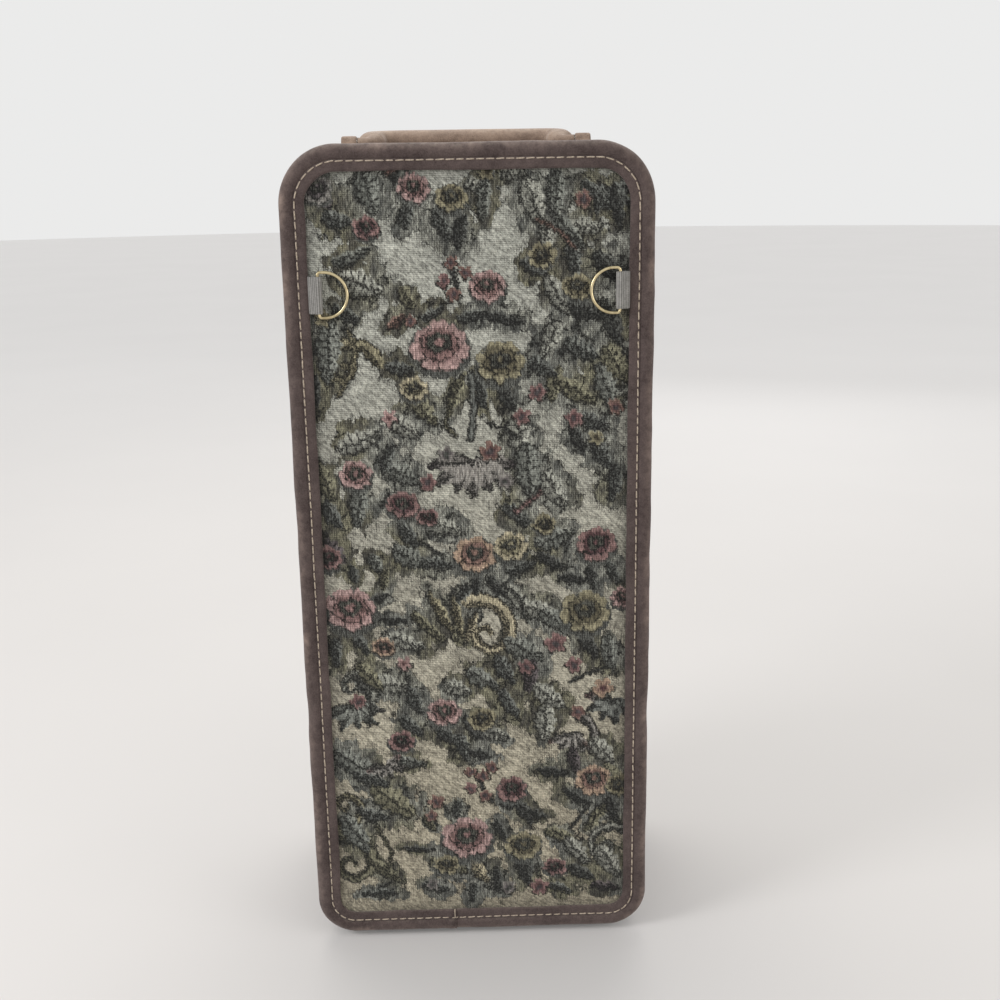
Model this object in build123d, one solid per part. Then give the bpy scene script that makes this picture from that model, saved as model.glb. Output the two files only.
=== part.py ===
import os

from build123d import *

# Overall sizes, in millimetres
case_width = 190.0
case_height = 442.0
case_depth = 130.0
lid_depth = 37.0
top_radius = 30.0
bottom_radius = 22.0
foot_height = 2.5

# Rolled rim round each panel
roll_diameter = 9.0
wall_below_roll = 0.5
flange_width = 4.5
flange_thickness = 1.6
rim_cord_diameter = 5.0

# Panels and walls, from the outside inwards
cover_thickness = 3.0
crown_height = 2.2
crown_inset = 1.0
crown_round = 1.6
board_thickness = 2.5
board_wall_gap = 0.9
suede_thickness = 1.2
band_thickness = 2.5
lining_thickness = 1.0
seat_gap = 0.2

# Zip in the wall between the case and its lid
tape_thickness = 0.6
tape_under_wall = 9.0
coil_width = 2.3
coil_height = 2.2
coil_half_gap = 0.9
hinge_reach = 10.0

# Zip sliders and their pulls
slider_length = 14.0
slider_width = 10.0
slider_plate = 1.3
slider_clearance = 0.25
slider_side_gap = 0.5
wedge_length = 4.5
lip_width = 1.1
lip_length = 8.0
bail_length = 10.4
bail_post = 1.2
bail_width = 2.0
bail_opening = 2.0
bail_thickness = 1.2
slider_rest_gap = 1.0
pull_length = 26.0
pull_neck = 6.4
pull_width = 7.0
pull_end_width = 8.6
pull_thickness = 1.4
pull_side_gap = 0.7
pull_hole = 3.0

# D-rings and their webbing tabs
ring_wire = 1.6
ring_half_height = 11.4
ring_reach = 14.6
ring_corner = 1.6
ring_from_flange = 5.1
ring_below_top = 74.0
ring_off_panel = 0.5
tab_end_gap = 0.4
tab_thickness = 1.3
tab_end_thickness = 1.2
bore_clearance = 0.08

# Carrying handle
handle_corner_gap = 0.0
handle_before_middle = 7.35
handle_reach = 30.0
handle_bar_diameter = 4.0
handle_lift = 2.2
grip_width = 14.0
grip_thickness = 10.4
grip_from_pivot = 7.0
grip_corner = 11.0
arm_corner = 5.0
arm_chape_gap = 0.0
chape_width = 8.0
chape_thickness = 1.6
chape_tail = 15.0
chape_tail_thickness = 2.6
backing_thickness = 1.0
backing_overhang = 2.0
rivet_diameter = 3.0
rivet_head_diameter = 6.4
rivet_head_height = 1.6
rivet_from_pivot = 9.5
rivet_clearance = 0.1

# Feet under the case
foot_diameter = 14.0
foot_tip_diameter = 10.0
foot_round = 1.8
foot_side_inset = 34.0
foot_front_inset = 17.0
foot_back_gap = 3.0
foot_rivet_depth = 4.0

# Places worked out from the sizes above
front_face = -case_depth / 2
split_y = case_depth / 2 - lid_depth
middle_z = foot_height + case_height / 2
top_z = foot_height + case_height
rim_stand = roll_diameter / 2 + wall_below_roll
rim_width = roll_diameter + flange_width
wall_top_z = top_z - rim_stand
wall_bottom_z = foot_height + rim_stand
wall_start_y = front_face + roll_diameter + seat_gap
panel_inset = roll_diameter + seat_gap
sheet_front = wall_start_y - board_wall_gap + seat_gap
board_front = sheet_front - seat_gap - board_thickness
cover_front = board_front - seat_gap - cover_thickness
pad_front = cover_front - crown_height
flange_front = cover_front - seat_gap - flange_thickness
band_inset = rim_stand + suede_thickness + seat_gap
lining_inset = band_inset + band_thickness + seat_gap
inside_inset = lining_inset + lining_thickness
coil_inset = band_inset - seat_gap - coil_height
tape_inner_z = top_z - band_inset - tape_thickness
coil_top_z = top_z - coil_inset
window_half = slider_width / 2 + slider_side_gap
band_set_back = window_half + tape_under_wall + seat_gap
wedge_width = 2 * (coil_half_gap - slider_clearance)
case_wall_end = split_y - window_half
lid_wall_start = split_y + window_half
ring_from_edge = rim_width + ring_from_flange
tab_height = 2 * (ring_half_height - ring_corner - tab_end_gap)
handle_span = case_width - 2 * top_radius - 2 * handle_corner_gap
handle_y = (wall_start_y + case_wall_end) / 2 - handle_before_middle
arm_from_end = chape_width + arm_chape_gap + grip_width / 2
pivot_z = wall_top_z + grip_thickness / 2


def outline(inset):
    """Upright rounded outline of the case, set in from the rims' outer edge."""
    height = case_height - 2 * inset
    face = Rectangle(case_width - 2 * inset, height)
    upper = face.vertices().filter_by_position(Axis.Y, 0, height)
    face = fillet(upper, top_radius - inset)
    lower = face.vertices().filter_by_position(Axis.Y, -height / 2 - 0.01, -height / 2 + 0.01)
    return fillet(lower, bottom_radius - inset)


def layer(inset, y_near, y_far):
    """Full slab of the outline between two depths."""
    face = Pos(0, y_far, middle_z) * (Plane.XZ * outline(inset))
    return extrude(face, amount=y_far - y_near)


def hoop(outer_inset, inner_inset, y_near, y_far):
    """Closed band that follows the outline."""
    return layer(outer_inset, y_near, y_far) - layer(inner_inset, y_near, y_far)


def tube_round(inset, depth, diameter):
    """Round cord that follows the outline at one depth."""
    path = (Pos(0, depth, middle_z) * (Plane.XZ * outline(inset))).faces()[0].outer_wire()
    start = Plane(origin=path @ 0, z_dir=path % 0)
    return sweep(start * Circle(diameter / 2), path=path)


def block(x_low, x_high, y_low, y_high, z_low, z_high):
    """Straight block between named limits."""
    size = (x_high - x_low, y_high - y_low, z_high - z_low)
    middle = ((x_high + x_low) / 2, (y_high + y_low) / 2, (z_high + z_low) / 2)
    return Pos(*middle) * Box(*size)


def upright(diameter, x, y, z_low, z_high):
    """Straight round bar that stands on end."""
    return Pos(x, y, (z_low + z_high) / 2) * Cylinder(diameter / 2, z_high - z_low)


def rim_cord():
    """Stiff cord inside the rolled rim."""
    return tube_round(roll_diameter / 2, front_face + roll_diameter / 2, rim_cord_diameter)


def rim():
    """Rolled suede rim with the flat flange that is stitched down on the panel."""
    depth = front_face + roll_diameter / 2
    roll = tube_round(roll_diameter / 2, depth, roll_diameter)
    hollow = tube_round(roll_diameter / 2, depth, rim_cord_diameter + 2 * seat_gap)
    flange = hoop(roll_diameter / 2, rim_width, flange_front, flange_front + flange_thickness)
    return roll + flange - hollow


def panel_cover():
    """Tapestry over foam, with a softly raised middle inside the flange."""
    base = layer(panel_inset, cover_front, cover_front + cover_thickness)
    pad = layer(rim_width + crown_inset, pad_front, cover_front + seat_gap)
    front_edges = pad.faces().sort_by(Axis.Y)[0].edges()
    return base + fillet(front_edges, crown_round)


def panel_board():
    """Flat board behind the tapestry."""
    return layer(panel_inset, board_front, board_front + board_thickness)


def wall(y_near, y_far):
    """Suede wall cover."""
    return hoop(rim_stand, rim_stand + suede_thickness, y_near, y_far)


def band(y_near, y_far):
    """Board band that holds the wall's shape."""
    return hoop(band_inset, band_inset + band_thickness, y_near, y_far)


def lining(y_near, y_far):
    """Lining tray: a sheet over the board and a wall inside the band."""
    sheet = layer(lining_inset, y_near, y_near + lining_thickness)
    sides = hoop(lining_inset, inside_inset, y_near + lining_thickness, y_far)
    return sheet + sides


def zip_keep():
    """Space that the zip runs through, all round but for the hinge side."""
    left = -case_width / 2 + hinge_reach
    return block(left, case_width, -case_depth, case_depth, -foot_height, top_z + rim_stand)


def zip_tape():
    """Zip tape on the case's side of the split."""
    near = split_y - window_half - tape_under_wall
    tape = hoop(band_inset, band_inset + tape_thickness, near, split_y - coil_half_gap)
    return tape & zip_keep()


def zip_coil():
    """Row of coil on the edge of the tape."""
    near = split_y - coil_half_gap - coil_width
    coil = hoop(coil_inset, band_inset - seat_gap, near, split_y - coil_half_gap)
    return coil & zip_keep()


def to_lid(shape):
    """Turns a piece of the case into its like on the lid, across the split."""
    return mirror(shape, about=Plane.XZ.offset(-split_y))


def to_back(shape):
    """Turns a piece of the front face into its like on the back face."""
    return mirror(shape, about=Plane.XZ)


def hinge_strip():
    """Suede strip that joins case and lid along the left side."""
    half = window_half - seat_gap
    ring = hoop(rim_stand, rim_stand + suede_thickness, split_y - half, split_y + half)
    right = -case_width / 2 + hinge_reach - seat_gap
    return ring & block(-case_width, right, -case_depth, case_depth, 0, top_z)


def d_ring():
    """Wire D-ring, straight bar on the Z axis and bow towards +X."""
    bar = ring_half_height - ring_corner
    bow = ring_reach - ring_half_height
    with BuildLine(Plane.XZ) as path:
        Line((0, -bar), (0, bar))
        CenterArc((ring_corner, bar), ring_corner, 90, 90)
        Line((ring_corner, ring_half_height), (bow, ring_half_height))
        CenterArc((bow, 0), ring_half_height, -90, 180)
        Line((bow, -ring_half_height), (ring_corner, -ring_half_height))
        CenterArc((ring_corner, -bar), ring_corner, 180, 90)
    wire = path.wire()
    start = Plane(origin=wire @ 0, z_dir=wire % 0)
    return sweep(start * Circle(ring_wire / 2), path=wire)


def webbing_tab():
    """Loop of webbing round the ring's bar, its end buried under the flange."""
    outer = ring_wire / 2 + bore_clearance + tab_thickness
    edge = -ring_from_edge + rim_width + seat_gap
    buried = panel_inset - ring_from_edge
    base = cover_front - ring_y
    with BuildSketch() as section:
        Circle(outer)
        Polygon((0, -outer), (0, outer), (edge, base + tab_end_thickness), (edge, base), align=None)
        Polygon(
            (edge, base),
            (edge, base + tab_end_thickness),
            (buried, base + tab_end_thickness),
            (buried, base),
            align=None,
        )
        Circle(ring_wire / 2 + bore_clearance, mode=Mode.SUBTRACT)
    solid = extrude(section.sketch, amount=tab_height / 2, both=True)
    return solid


def tab_pocket(cover, side):
    """Takes the room for one webbing tab out of the panel cover."""
    outer = ring_wire / 2 + bore_clearance + tab_thickness + seat_gap
    half = tab_height / 2 + seat_gap
    low_x = -case_width / 2 + panel_inset - seat_gap
    high_x = ring_x + outer
    floor_y = max(cover_front + tab_end_thickness, ring_y + outer) + seat_gap
    pocket = block(low_x, high_x, -case_depth, floor_y, ring_z - half, ring_z + half)
    if side > 0:
        pocket = mirror(pocket, about=Plane.YZ)
    return cover - pocket


def handle_path(inner_only):
    """Line of the handle: out of one chape, round the grip, into the other."""
    end = handle_span / 2
    arm = end - arm_from_end
    reach = handle_reach
    if inner_only:
        start = grip_from_pivot
        points = [(-arm, start), (-arm, reach), (arm, reach), (arm, start)]
        radii = [grip_corner, grip_corner]
    else:
        points = [(-end, 0), (-arm, 0), (-arm, reach), (arm, reach), (arm, 0), (end, 0)]
        radii = [arm_corner, grip_corner, grip_corner, arm_corner]
    pivots = (0, handle_y, pivot_z)
    lying = Plane(origin=pivots, x_dir=(1, 0, 0), z_dir=(0, -handle_lift, handle_reach))
    with BuildLine(lying) as path:
        FilletPolyline(*points, radius=radii)
    return path.wire()


def handle_bar():
    """Steel bar inside the grip, its ends turned out as pivots."""
    wire = handle_path(False)
    start = Plane(origin=wire @ 0, z_dir=wire % 0)
    return sweep(start * Circle(handle_bar_diameter / 2), path=wire)


def handle_grip():
    """Padded suede grip over the bar."""
    wire = handle_path(True)
    start = Plane(origin=wire @ 0, x_dir=(1, 0, 0), z_dir=wire % 0)
    pad = sweep(start * Ellipse(grip_width / 2, grip_thickness / 2), path=wire)
    channel = sweep(start * Circle(handle_bar_diameter / 2 + bore_clearance), path=wire)
    return pad - channel


def chape(side):
    """Suede loop that carries one end of the bar, with its riveted tail."""
    outer = handle_bar_diameter / 2 + bore_clearance + chape_thickness
    outer_x = handle_span / 2
    middle_x = side * (outer_x - chape_width / 2)
    tail_low = wall_top_z + seat_gap
    loop = Pos(middle_x, handle_y, pivot_z) * Rot(0, 90, 0) * Cylinder(outer, chape_width)
    tail = block(
        middle_x - chape_width / 2,
        middle_x + chape_width / 2,
        handle_y - chape_tail,
        handle_y + outer / 2,
        tail_low,
        tail_low + chape_tail_thickness,
    )
    bore_radius = handle_bar_diameter / 2 + bore_clearance
    bore = Pos(middle_x, handle_y, pivot_z) * Rot(0, 90, 0) * Cylinder(bore_radius, 2 * chape_width)
    return loop + tail - bore - chape_rivet_hole(side)


def rivet_x(side):
    return side * (handle_span / 2 - chape_width / 2)


def chape_rivet_hole(side):
    low = top_z - inside_inset - 2 * backing_thickness - rivet_head_height
    diameter = rivet_diameter + 2 * rivet_clearance
    high = wall_top_z + seat_gap + 2 * chape_tail_thickness
    return upright(diameter, rivet_x(side), handle_y - rivet_from_pivot, low, high)


def chape_rivet(side):
    """Rivet with a domed head outside and a clenched head inside."""
    x = rivet_x(side)
    y = handle_y - rivet_from_pivot
    head_z = wall_top_z + seat_gap + chape_tail_thickness
    low_z = top_z - inside_inset - seat_gap - backing_thickness
    half_head = rivet_head_height / 2
    shank = upright(rivet_diameter, x, y, low_z - half_head, head_z + half_head)
    head = Pos(x, y, head_z) * rivet_dome()
    clench = Pos(x, y, low_z) * Rot(180, 0, 0) * rivet_dome()
    return shank + head + clench


def rivet_dome():
    """Domed rivet head that sits on its flat side."""
    radius = rivet_head_diameter / 2
    ball = (radius**2 + rivet_head_height**2) / (2 * rivet_head_height)
    below = block(-ball, ball, -ball, ball, -2 * ball, 0)
    return Pos(0, 0, rivet_head_height - ball) * Sphere(ball) - below


def backing_plate(side):
    """Small steel plate inside the lining, under the chape's rivet."""
    half = chape_width / 2 + backing_overhang
    high = top_z - inside_inset - seat_gap
    y = handle_y - rivet_from_pivot
    plate = block(
        rivet_x(side) - half, rivet_x(side) + half, y - half, y + half, high - backing_thickness, high
    )
    return plate - chape_rivet_hole(side)


def foot_places():
    """Left and right, front and back places of the feet."""
    side_x = case_width / 2 - foot_side_inset
    front_y = wall_start_y + foot_front_inset - rim_stand
    back_y = split_y - window_half - tape_under_wall - foot_back_gap
    places = {}
    places["foot_front_left"] = (-side_x, front_y)
    places["foot_front_right"] = (side_x, front_y)
    places["foot_back_left"] = (-side_x, back_y)
    places["foot_back_right"] = (side_x, back_y)
    return places


def foot(x, y):
    """Turned foot that lifts the rims clear of the floor."""
    height = wall_bottom_z - seat_gap
    solid = Pos(x, y, 0) * loft(
        [
            Circle(foot_tip_diameter / 2),
            Pos(0, 0, height) * Circle(foot_diameter / 2),
        ]
    )
    solid = fillet(solid.edges().sort_by(Axis.Z)[0], foot_round)
    return solid - foot_rivet_hole(x, y)


def foot_rivet_hole(x, y):
    high = foot_height + inside_inset + rivet_head_height
    diameter = rivet_diameter + 2 * rivet_clearance
    return upright(diameter, x, y, wall_bottom_z - foot_rivet_depth, high)


def foot_rivet(x, y):
    """Rivet that holds one foot, its head on the lining inside."""
    head_z = foot_height + inside_inset + seat_gap
    low = wall_bottom_z - foot_rivet_depth + seat_gap
    shank = upright(rivet_diameter, x, y, low, head_z + rivet_head_height / 2)
    return shank + Pos(x, y, head_z) * rivet_dome()


def slider():
    """Zip slider at the split, nose towards +X, on the case's top."""
    upper_low = coil_top_z + slider_clearance
    upper_high = upper_low + slider_plate
    lower_high = tape_inner_z - slider_clearance
    lower_low = lower_high - slider_plate
    lip_low = top_z - band_inset + slider_clearance
    half_length = slider_length / 2
    half_width = slider_width / 2
    with BuildSketch(Plane.XY.offset(lower_low)) as plan:
        Rectangle(slider_length, slider_width)
        nose = plan.vertices().group_by(Axis.X)[-1]
        fillet(nose, slider_width * 0.28)
        tail = plan.vertices().group_by(Axis.X)[0]
        fillet(tail, slider_width * 0.18)
    lower = extrude(plan.sketch, amount=slider_plate)
    upper = Pos(0, 0, upper_low - lower_low) * lower
    upper = fillet(upper.faces().sort_by(Axis.Z)[-1].edges(), slider_plate * 0.45)
    wedge_start = half_length - wedge_length - slider_plate
    wedge = block(
        wedge_start,
        wedge_start + wedge_length,
        -wedge_width / 2,
        wedge_width / 2,
        lower_low + slider_plate / 2,
        upper_low + slider_plate / 2,
    )
    lip = block(
        -lip_length / 2,
        lip_length / 2,
        -half_width,
        -half_width + lip_width,
        lip_low,
        upper_low + slider_plate / 2,
    )
    bail_block = block(
        -bail_length / 2,
        bail_length / 2,
        -bail_width / 2,
        bail_width / 2,
        upper_high - slider_plate / 2,
        upper_high + bail_opening + bail_thickness,
    )
    bail_edges = bail_block.edges().filter_by(Axis.Y).group_by(Axis.Z)[-1]
    bail_block = fillet(bail_edges, bail_thickness)
    gap = block(
        -bail_length / 2 + bail_post,
        bail_length / 2 - bail_post,
        -bail_width,
        bail_width,
        upper_high,
        upper_high + bail_opening,
    )
    return lower + upper + wedge + lip + (bail_block - gap)


def pull():
    """Pull tab lying flat from its cross bar towards -X."""
    radius = pull_thickness / 2
    inner = bail_width / 2 + pull_side_gap
    half_width = pull_width / 2
    half_end = pull_end_width / 2
    with BuildSketch() as plan:
        Polygon(
            (-pull_neck, -half_width),
            (-pull_neck, half_width),
            (-pull_length, half_end),
            (-pull_length, -half_end),
            align=None,
        )
        fillet(plan.vertices(), half_width * 0.6)
        with Locations((-pull_length + half_end, 0)):
            Circle(pull_hole / 2, mode=Mode.SUBTRACT)
    plate = Pos(0, 0, -radius) * extrude(plan.sketch, amount=pull_thickness)
    arm_width = half_width - inner
    arm = block(-pull_neck - arm_width, 0, inner, half_width, -radius, radius)
    bar = Rot(90, 0, 0) * Cylinder(radius, pull_width)
    solid = plate + arm + mirror(arm, about=Plane.XZ) + bar
    return solid


def save(name, shape):
    """Writes one node and says what it holds."""
    if isinstance(shape, (list, tuple)):
        shape = Compound(children=[piece for part in shape for piece in part.solids()])
    shape.label = name
    export_step(shape, "parts/" + name + ".step")
    print(name, len(shape.solids()), round(shape.volume, 1))


ring_x = -case_width / 2 + ring_from_edge
ring_y = pad_front - ring_off_panel - ring_wire / 2
ring_z = top_z - ring_below_top
slider_x = slider_rest_gap / 2 + slider_length / 2
pull_z = coil_top_z + slider_clearance + slider_plate + bail_opening / 2

os.makedirs("parts", exist_ok=True)

# Case side
case_holes = [chape_rivet_hole(side) for side in (-1, 1)]
case_holes += [foot_rivet_hole(x, y) for x, y in foot_places().values()]
front_cover = tab_pocket(tab_pocket(panel_cover(), -1), 1)
save("front_panel_cover", front_cover)
save("front_panel_board", panel_board())
save("front_rim", rim())
save("front_rim_cord", rim_cord())
save("case_wall", wall(wall_start_y, case_wall_end) - case_holes)
save("case_band", band(wall_start_y, split_y - band_set_back) - case_holes)
save("case_lining", lining(sheet_front, case_wall_end) - case_holes)
save("case_zip_tape", zip_tape())
save("case_zip_coil", zip_coil())
save("hinge_strip", hinge_strip())

# Lid side
lid_end = -wall_start_y
save("back_panel_cover", to_back(panel_cover()))
save("back_panel_board", to_back(panel_board()))
save("back_rim", to_back(rim()))
save("back_rim_cord", to_back(rim_cord()))
save("lid_wall", wall(lid_wall_start, lid_end))
save("lid_band", band(split_y + band_set_back, lid_end))
save("lid_lining", to_back(lining(sheet_front, -lid_wall_start)))
save("lid_zip_tape", to_lid(zip_tape()))
save("lid_zip_coil", to_lid(zip_coil()))

# D-rings and their tabs
ring_place = Pos(ring_x, ring_y, ring_z)
save("ring_left", ring_place * d_ring())
save("ring_right", mirror(ring_place * d_ring(), about=Plane.YZ))
save("ring_tab_left", ring_place * webbing_tab())
save("ring_tab_right", mirror(ring_place * webbing_tab(), about=Plane.YZ))

# Handle
save("handle_bar", handle_bar())
save("handle_grip", handle_grip())
save("handle_chape_left", chape(-1))
save("handle_chape_right", chape(1))
save("handle_rivets", [chape_rivet(-1), chape_rivet(1)])
save("handle_backing_plates", [backing_plate(-1), backing_plate(1)])

# Zip sliders, nose to nose when the case is closed
left_slider = Pos(-slider_x, split_y, 0) * slider()
save("slider_left", left_slider)
save("slider_right", mirror(left_slider, about=Plane.YZ))
left_pull = Pos(-slider_x, split_y, pull_z) * pull()
save("pull_left", left_pull)
save("pull_right", mirror(left_pull, about=Plane.YZ))

# Feet
for foot_name, (foot_x, foot_y) in foot_places().items():
    save(foot_name, foot(foot_x, foot_y))
save("foot_rivets", [foot_rivet(x, y) for x, y in foot_places().values()])
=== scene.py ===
import math

import bmesh
import bpy
import numpy as np
from mathutils import Matrix, Vector


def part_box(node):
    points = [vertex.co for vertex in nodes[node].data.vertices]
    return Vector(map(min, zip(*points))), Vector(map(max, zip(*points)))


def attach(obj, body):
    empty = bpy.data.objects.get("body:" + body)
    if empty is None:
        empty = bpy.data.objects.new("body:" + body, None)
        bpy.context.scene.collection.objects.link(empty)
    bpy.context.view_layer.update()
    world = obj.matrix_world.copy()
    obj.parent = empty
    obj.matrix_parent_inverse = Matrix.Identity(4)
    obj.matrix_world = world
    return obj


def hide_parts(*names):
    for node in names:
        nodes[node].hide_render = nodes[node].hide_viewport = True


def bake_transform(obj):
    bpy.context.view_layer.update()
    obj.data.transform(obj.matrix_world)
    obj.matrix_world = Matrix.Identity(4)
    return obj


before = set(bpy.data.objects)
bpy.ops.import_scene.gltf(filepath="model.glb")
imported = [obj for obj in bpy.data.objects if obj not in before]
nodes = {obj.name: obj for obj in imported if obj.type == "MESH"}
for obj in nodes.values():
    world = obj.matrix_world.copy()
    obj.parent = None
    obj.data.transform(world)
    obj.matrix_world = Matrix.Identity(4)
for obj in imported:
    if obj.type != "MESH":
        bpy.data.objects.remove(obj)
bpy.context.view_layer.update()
mm = 0.001


def addObject(name, data):
    made = bpy.data.objects.new(name, data)
    bpy.context.scene.collection.objects.link(made)
    return made


# Camera and light
cameraSet = {
    "lens": 45.0,
    "sensor": 36.0,
    "clipStart": 0.02,
    "place": (-0.0020, -0.7047, 0.4305),
    "yaw": 1.41,          # degrees, as are pitch and roll
    "pitch": 14.80,
    "roll": -0.90,
}


def addCamera(values):
    yaw, pitch, roll = (math.radians(values[key]) for key in ("yaw", "pitch", "roll"))
    ahead = Vector((math.sin(yaw) * math.cos(pitch), math.cos(yaw) * math.cos(pitch), -math.sin(pitch)))
    level = Vector((math.cos(yaw), -math.sin(yaw), 0))
    above = level.cross(ahead)
    right = math.cos(roll) * level + math.sin(roll) * above
    up = -math.sin(roll) * level + math.cos(roll) * above
    data = bpy.data.cameras.new("photoCamera")
    data.lens = values["lens"]
    data.sensor_width = values["sensor"]
    data.clip_start = values["clipStart"]
    camera = addObject("photoCamera", data)
    turn = Matrix((right, up, -ahead)).transposed().to_4x4()
    camera.matrix_world = Matrix.Translation(values["place"]) @ turn
    bpy.context.scene.camera = camera


lampSet = {
    # place, aim, size, watts, tint
    "topLamp": ((-0.1, 0.55, 1.5), (0, 0, 0.35), 1.1, 10.0, (1.0, 0.97, 0.92)),
    "leftLamp": ((-1.15, -0.62, 0.95), (0, 0, 0.22), 0.55, 9.5, (0.98, 0.98, 1.0)),
    "rightLamp": ((1.2, -0.8, 0.55), (0, 0, 0.2), 0.9, 4.5, (1.0, 0.95, 0.90)),
    "backLamp": ((0.5, 1.5, 0.9), (0, 0, 0.2), 1.2, 3.5, (0.97, 0.98, 1.0)),
}


def addLamps(rows):
    for name, (place, aim, size, watts, tint) in rows.items():
        data = bpy.data.lights.new(name, "AREA")
        data.shape = "DISK"
        data.size = size
        data.energy = watts
        data.color = tint
        lamp = addObject(name, data)
        lamp.location = place
        lamp.rotation_mode = "QUATERNION"
        lamp.rotation_quaternion = (Vector(aim) - Vector(place)).to_track_quat("-Z", "Y")


# Small helpers for node trees
class Flow:
    # an output socket that ordinary arithmetic works on
    def __init__(self, socket):
        self.socket = socket
        self.tree = socket.id_data

    def __add__(self, other):
        return calc("ADD", self, other)

    def __sub__(self, other):
        return calc("SUBTRACT", self, other)

    def __rsub__(self, other):
        return calc("SUBTRACT", other, self)

    def __mul__(self, other):
        return calc("MULTIPLY", self, other)

    def __truediv__(self, other):
        return calc("DIVIDE", self, other)


def feed(node, values):
    # sets or links a node's inputs, each by its name or number
    for key, value in values.items():
        if isinstance(value, Flow):
            node.id_data.links.new(value.socket, node.inputs[key])
        else:
            node.inputs[key].default_value = value


def addNode(tree, kind, values, **settings):
    made = tree.nodes.new(kind)
    for key, value in settings.items():
        setattr(made, key, value)
    feed(made, values)
    return made


def outOf(tree, kind, values, output=0, **settings):
    return Flow(addNode(tree, kind, values, **settings).outputs[output])


def treeOf(*values):
    return next(value.tree for value in values if isinstance(value, Flow))


def calc(operation, *values, clamp=False):
    inputs = dict(enumerate(values))
    return outOf(treeOf(*values), "ShaderNodeMath", inputs, operation=operation, use_clamp=clamp)


def mixColour(factor, first, second, blend="MIX"):
    inputs = {0: factor, 6: first, 7: second}
    settings = {"data_type": "RGBA", "blend_type": blend}
    return outOf(treeOf(factor, first, second), "ShaderNodeMix", inputs, 2, **settings)


def ramp(value, low, high, toLow=0.0, toHigh=1.0):
    inputs = dict(enumerate((value, low, high, toLow, toHigh)))
    return outOf(value.tree, "ShaderNodeMapRange", inputs, interpolation_type="SMOOTHSTEP")


def grainNoise(place, scale, detail=2.0, rough=0.5, output=0):
    inputs = {"Vector": place, "Scale": scale, "Detail": detail, "Roughness": rough}
    return outOf(place.tree, "ShaderNodeTexNoise", inputs, output)


def turnScale(place, scale, turn=(0, 0, 0)):
    turn = [math.radians(angle) for angle in turn]
    return outOf(place.tree, "ShaderNodeMapping", {"Vector": place, "Rotation": turn, "Scale": scale})


def splitXyz(place):
    return [Flow(socket) for socket in addNode(place.tree, "ShaderNodeSeparateXYZ", {0: place}).outputs]


def joinXyz(x, y, z):
    return outOf(treeOf(x, y, z), "ShaderNodeCombineXYZ", {0: x, 1: y, 2: z})


def shaded(colour, share):
    return mixColour(1.0, colour, joinXyz(share, share, share), "MULTIPLY")


def waveOf(value, pitch):
    # sine from 0 to 1 with one crest for each pitch
    return calc("SINE", value * (2 * math.pi / pitch)) * 0.5 + 0.5


def cellNoise(column, row):
    # one random value from 0 to 1 for each cell
    inputs = {"Vector": joinXyz(column, row, 0.0)}
    return outOf(column.tree, "ShaderNodeTexWhiteNoise", inputs, "Value", noise_dimensions="3D")


def startGroup(kind, name, takes, gives):
    tree = bpy.data.node_groups.new(name, kind + "NodeTree")
    for label, socketKind, default in takes:
        socket = tree.interface.new_socket(name=label, in_out="INPUT", socket_type="NodeSocket" + socketKind)
        if default is not None:
            socket.default_value = default
    for label, socketKind in gives:
        tree.interface.new_socket(name=label, in_out="OUTPUT", socket_type="NodeSocket" + socketKind)
    entry = tree.nodes.new("NodeGroupInput").outputs
    return tree, {row[0]: Flow(entry[row[0]]) for row in takes}, tree.nodes.new("NodeGroupOutput")


def useGroup(tree, group, **values):
    made = addNode(tree, "ShaderNodeGroup", values, node_tree=group)
    return {socket.name: Flow(socket) for socket in made.outputs}


def startMaterial(name):
    material = bpy.data.materials.new(name)
    material.use_nodes = True
    tree = material.node_tree
    return material, tree, tree.nodes["Principled BSDF"]


def objectPlace(tree):
    # place on the piece in millimetres
    return turnScale(outOf(tree, "ShaderNodeTexCoord", {}, "Object"), (1000, 1000, 1000))


def readAttribute(tree, name, output="Vector"):
    return outOf(tree, "ShaderNodeAttribute", {}, output, attribute_name=name)


def addBump(shader, height, depth, strength):
    inputs = {"Strength": strength, "Distance": depth * mm, "Height": height}
    feed(shader, {"Normal": outOf(height.tree, "ShaderNodeBump", inputs)})


def srgb(red, green, blue):
    # screen tone from 0 to 255 as linear light
    parts = []
    for tone in (red / 255, green / 255, blue / 255):
        parts.append(tone / 12.92 if tone <= 0.04045 else ((tone + 0.055) / 1.055) ** 2.4)
    return (*parts, 1.0)


# Effects that several materials share
darkTone = (0.1, 0.1, 0.1, 1)
paleTone = (0.3, 0.3, 0.3, 1)


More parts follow.
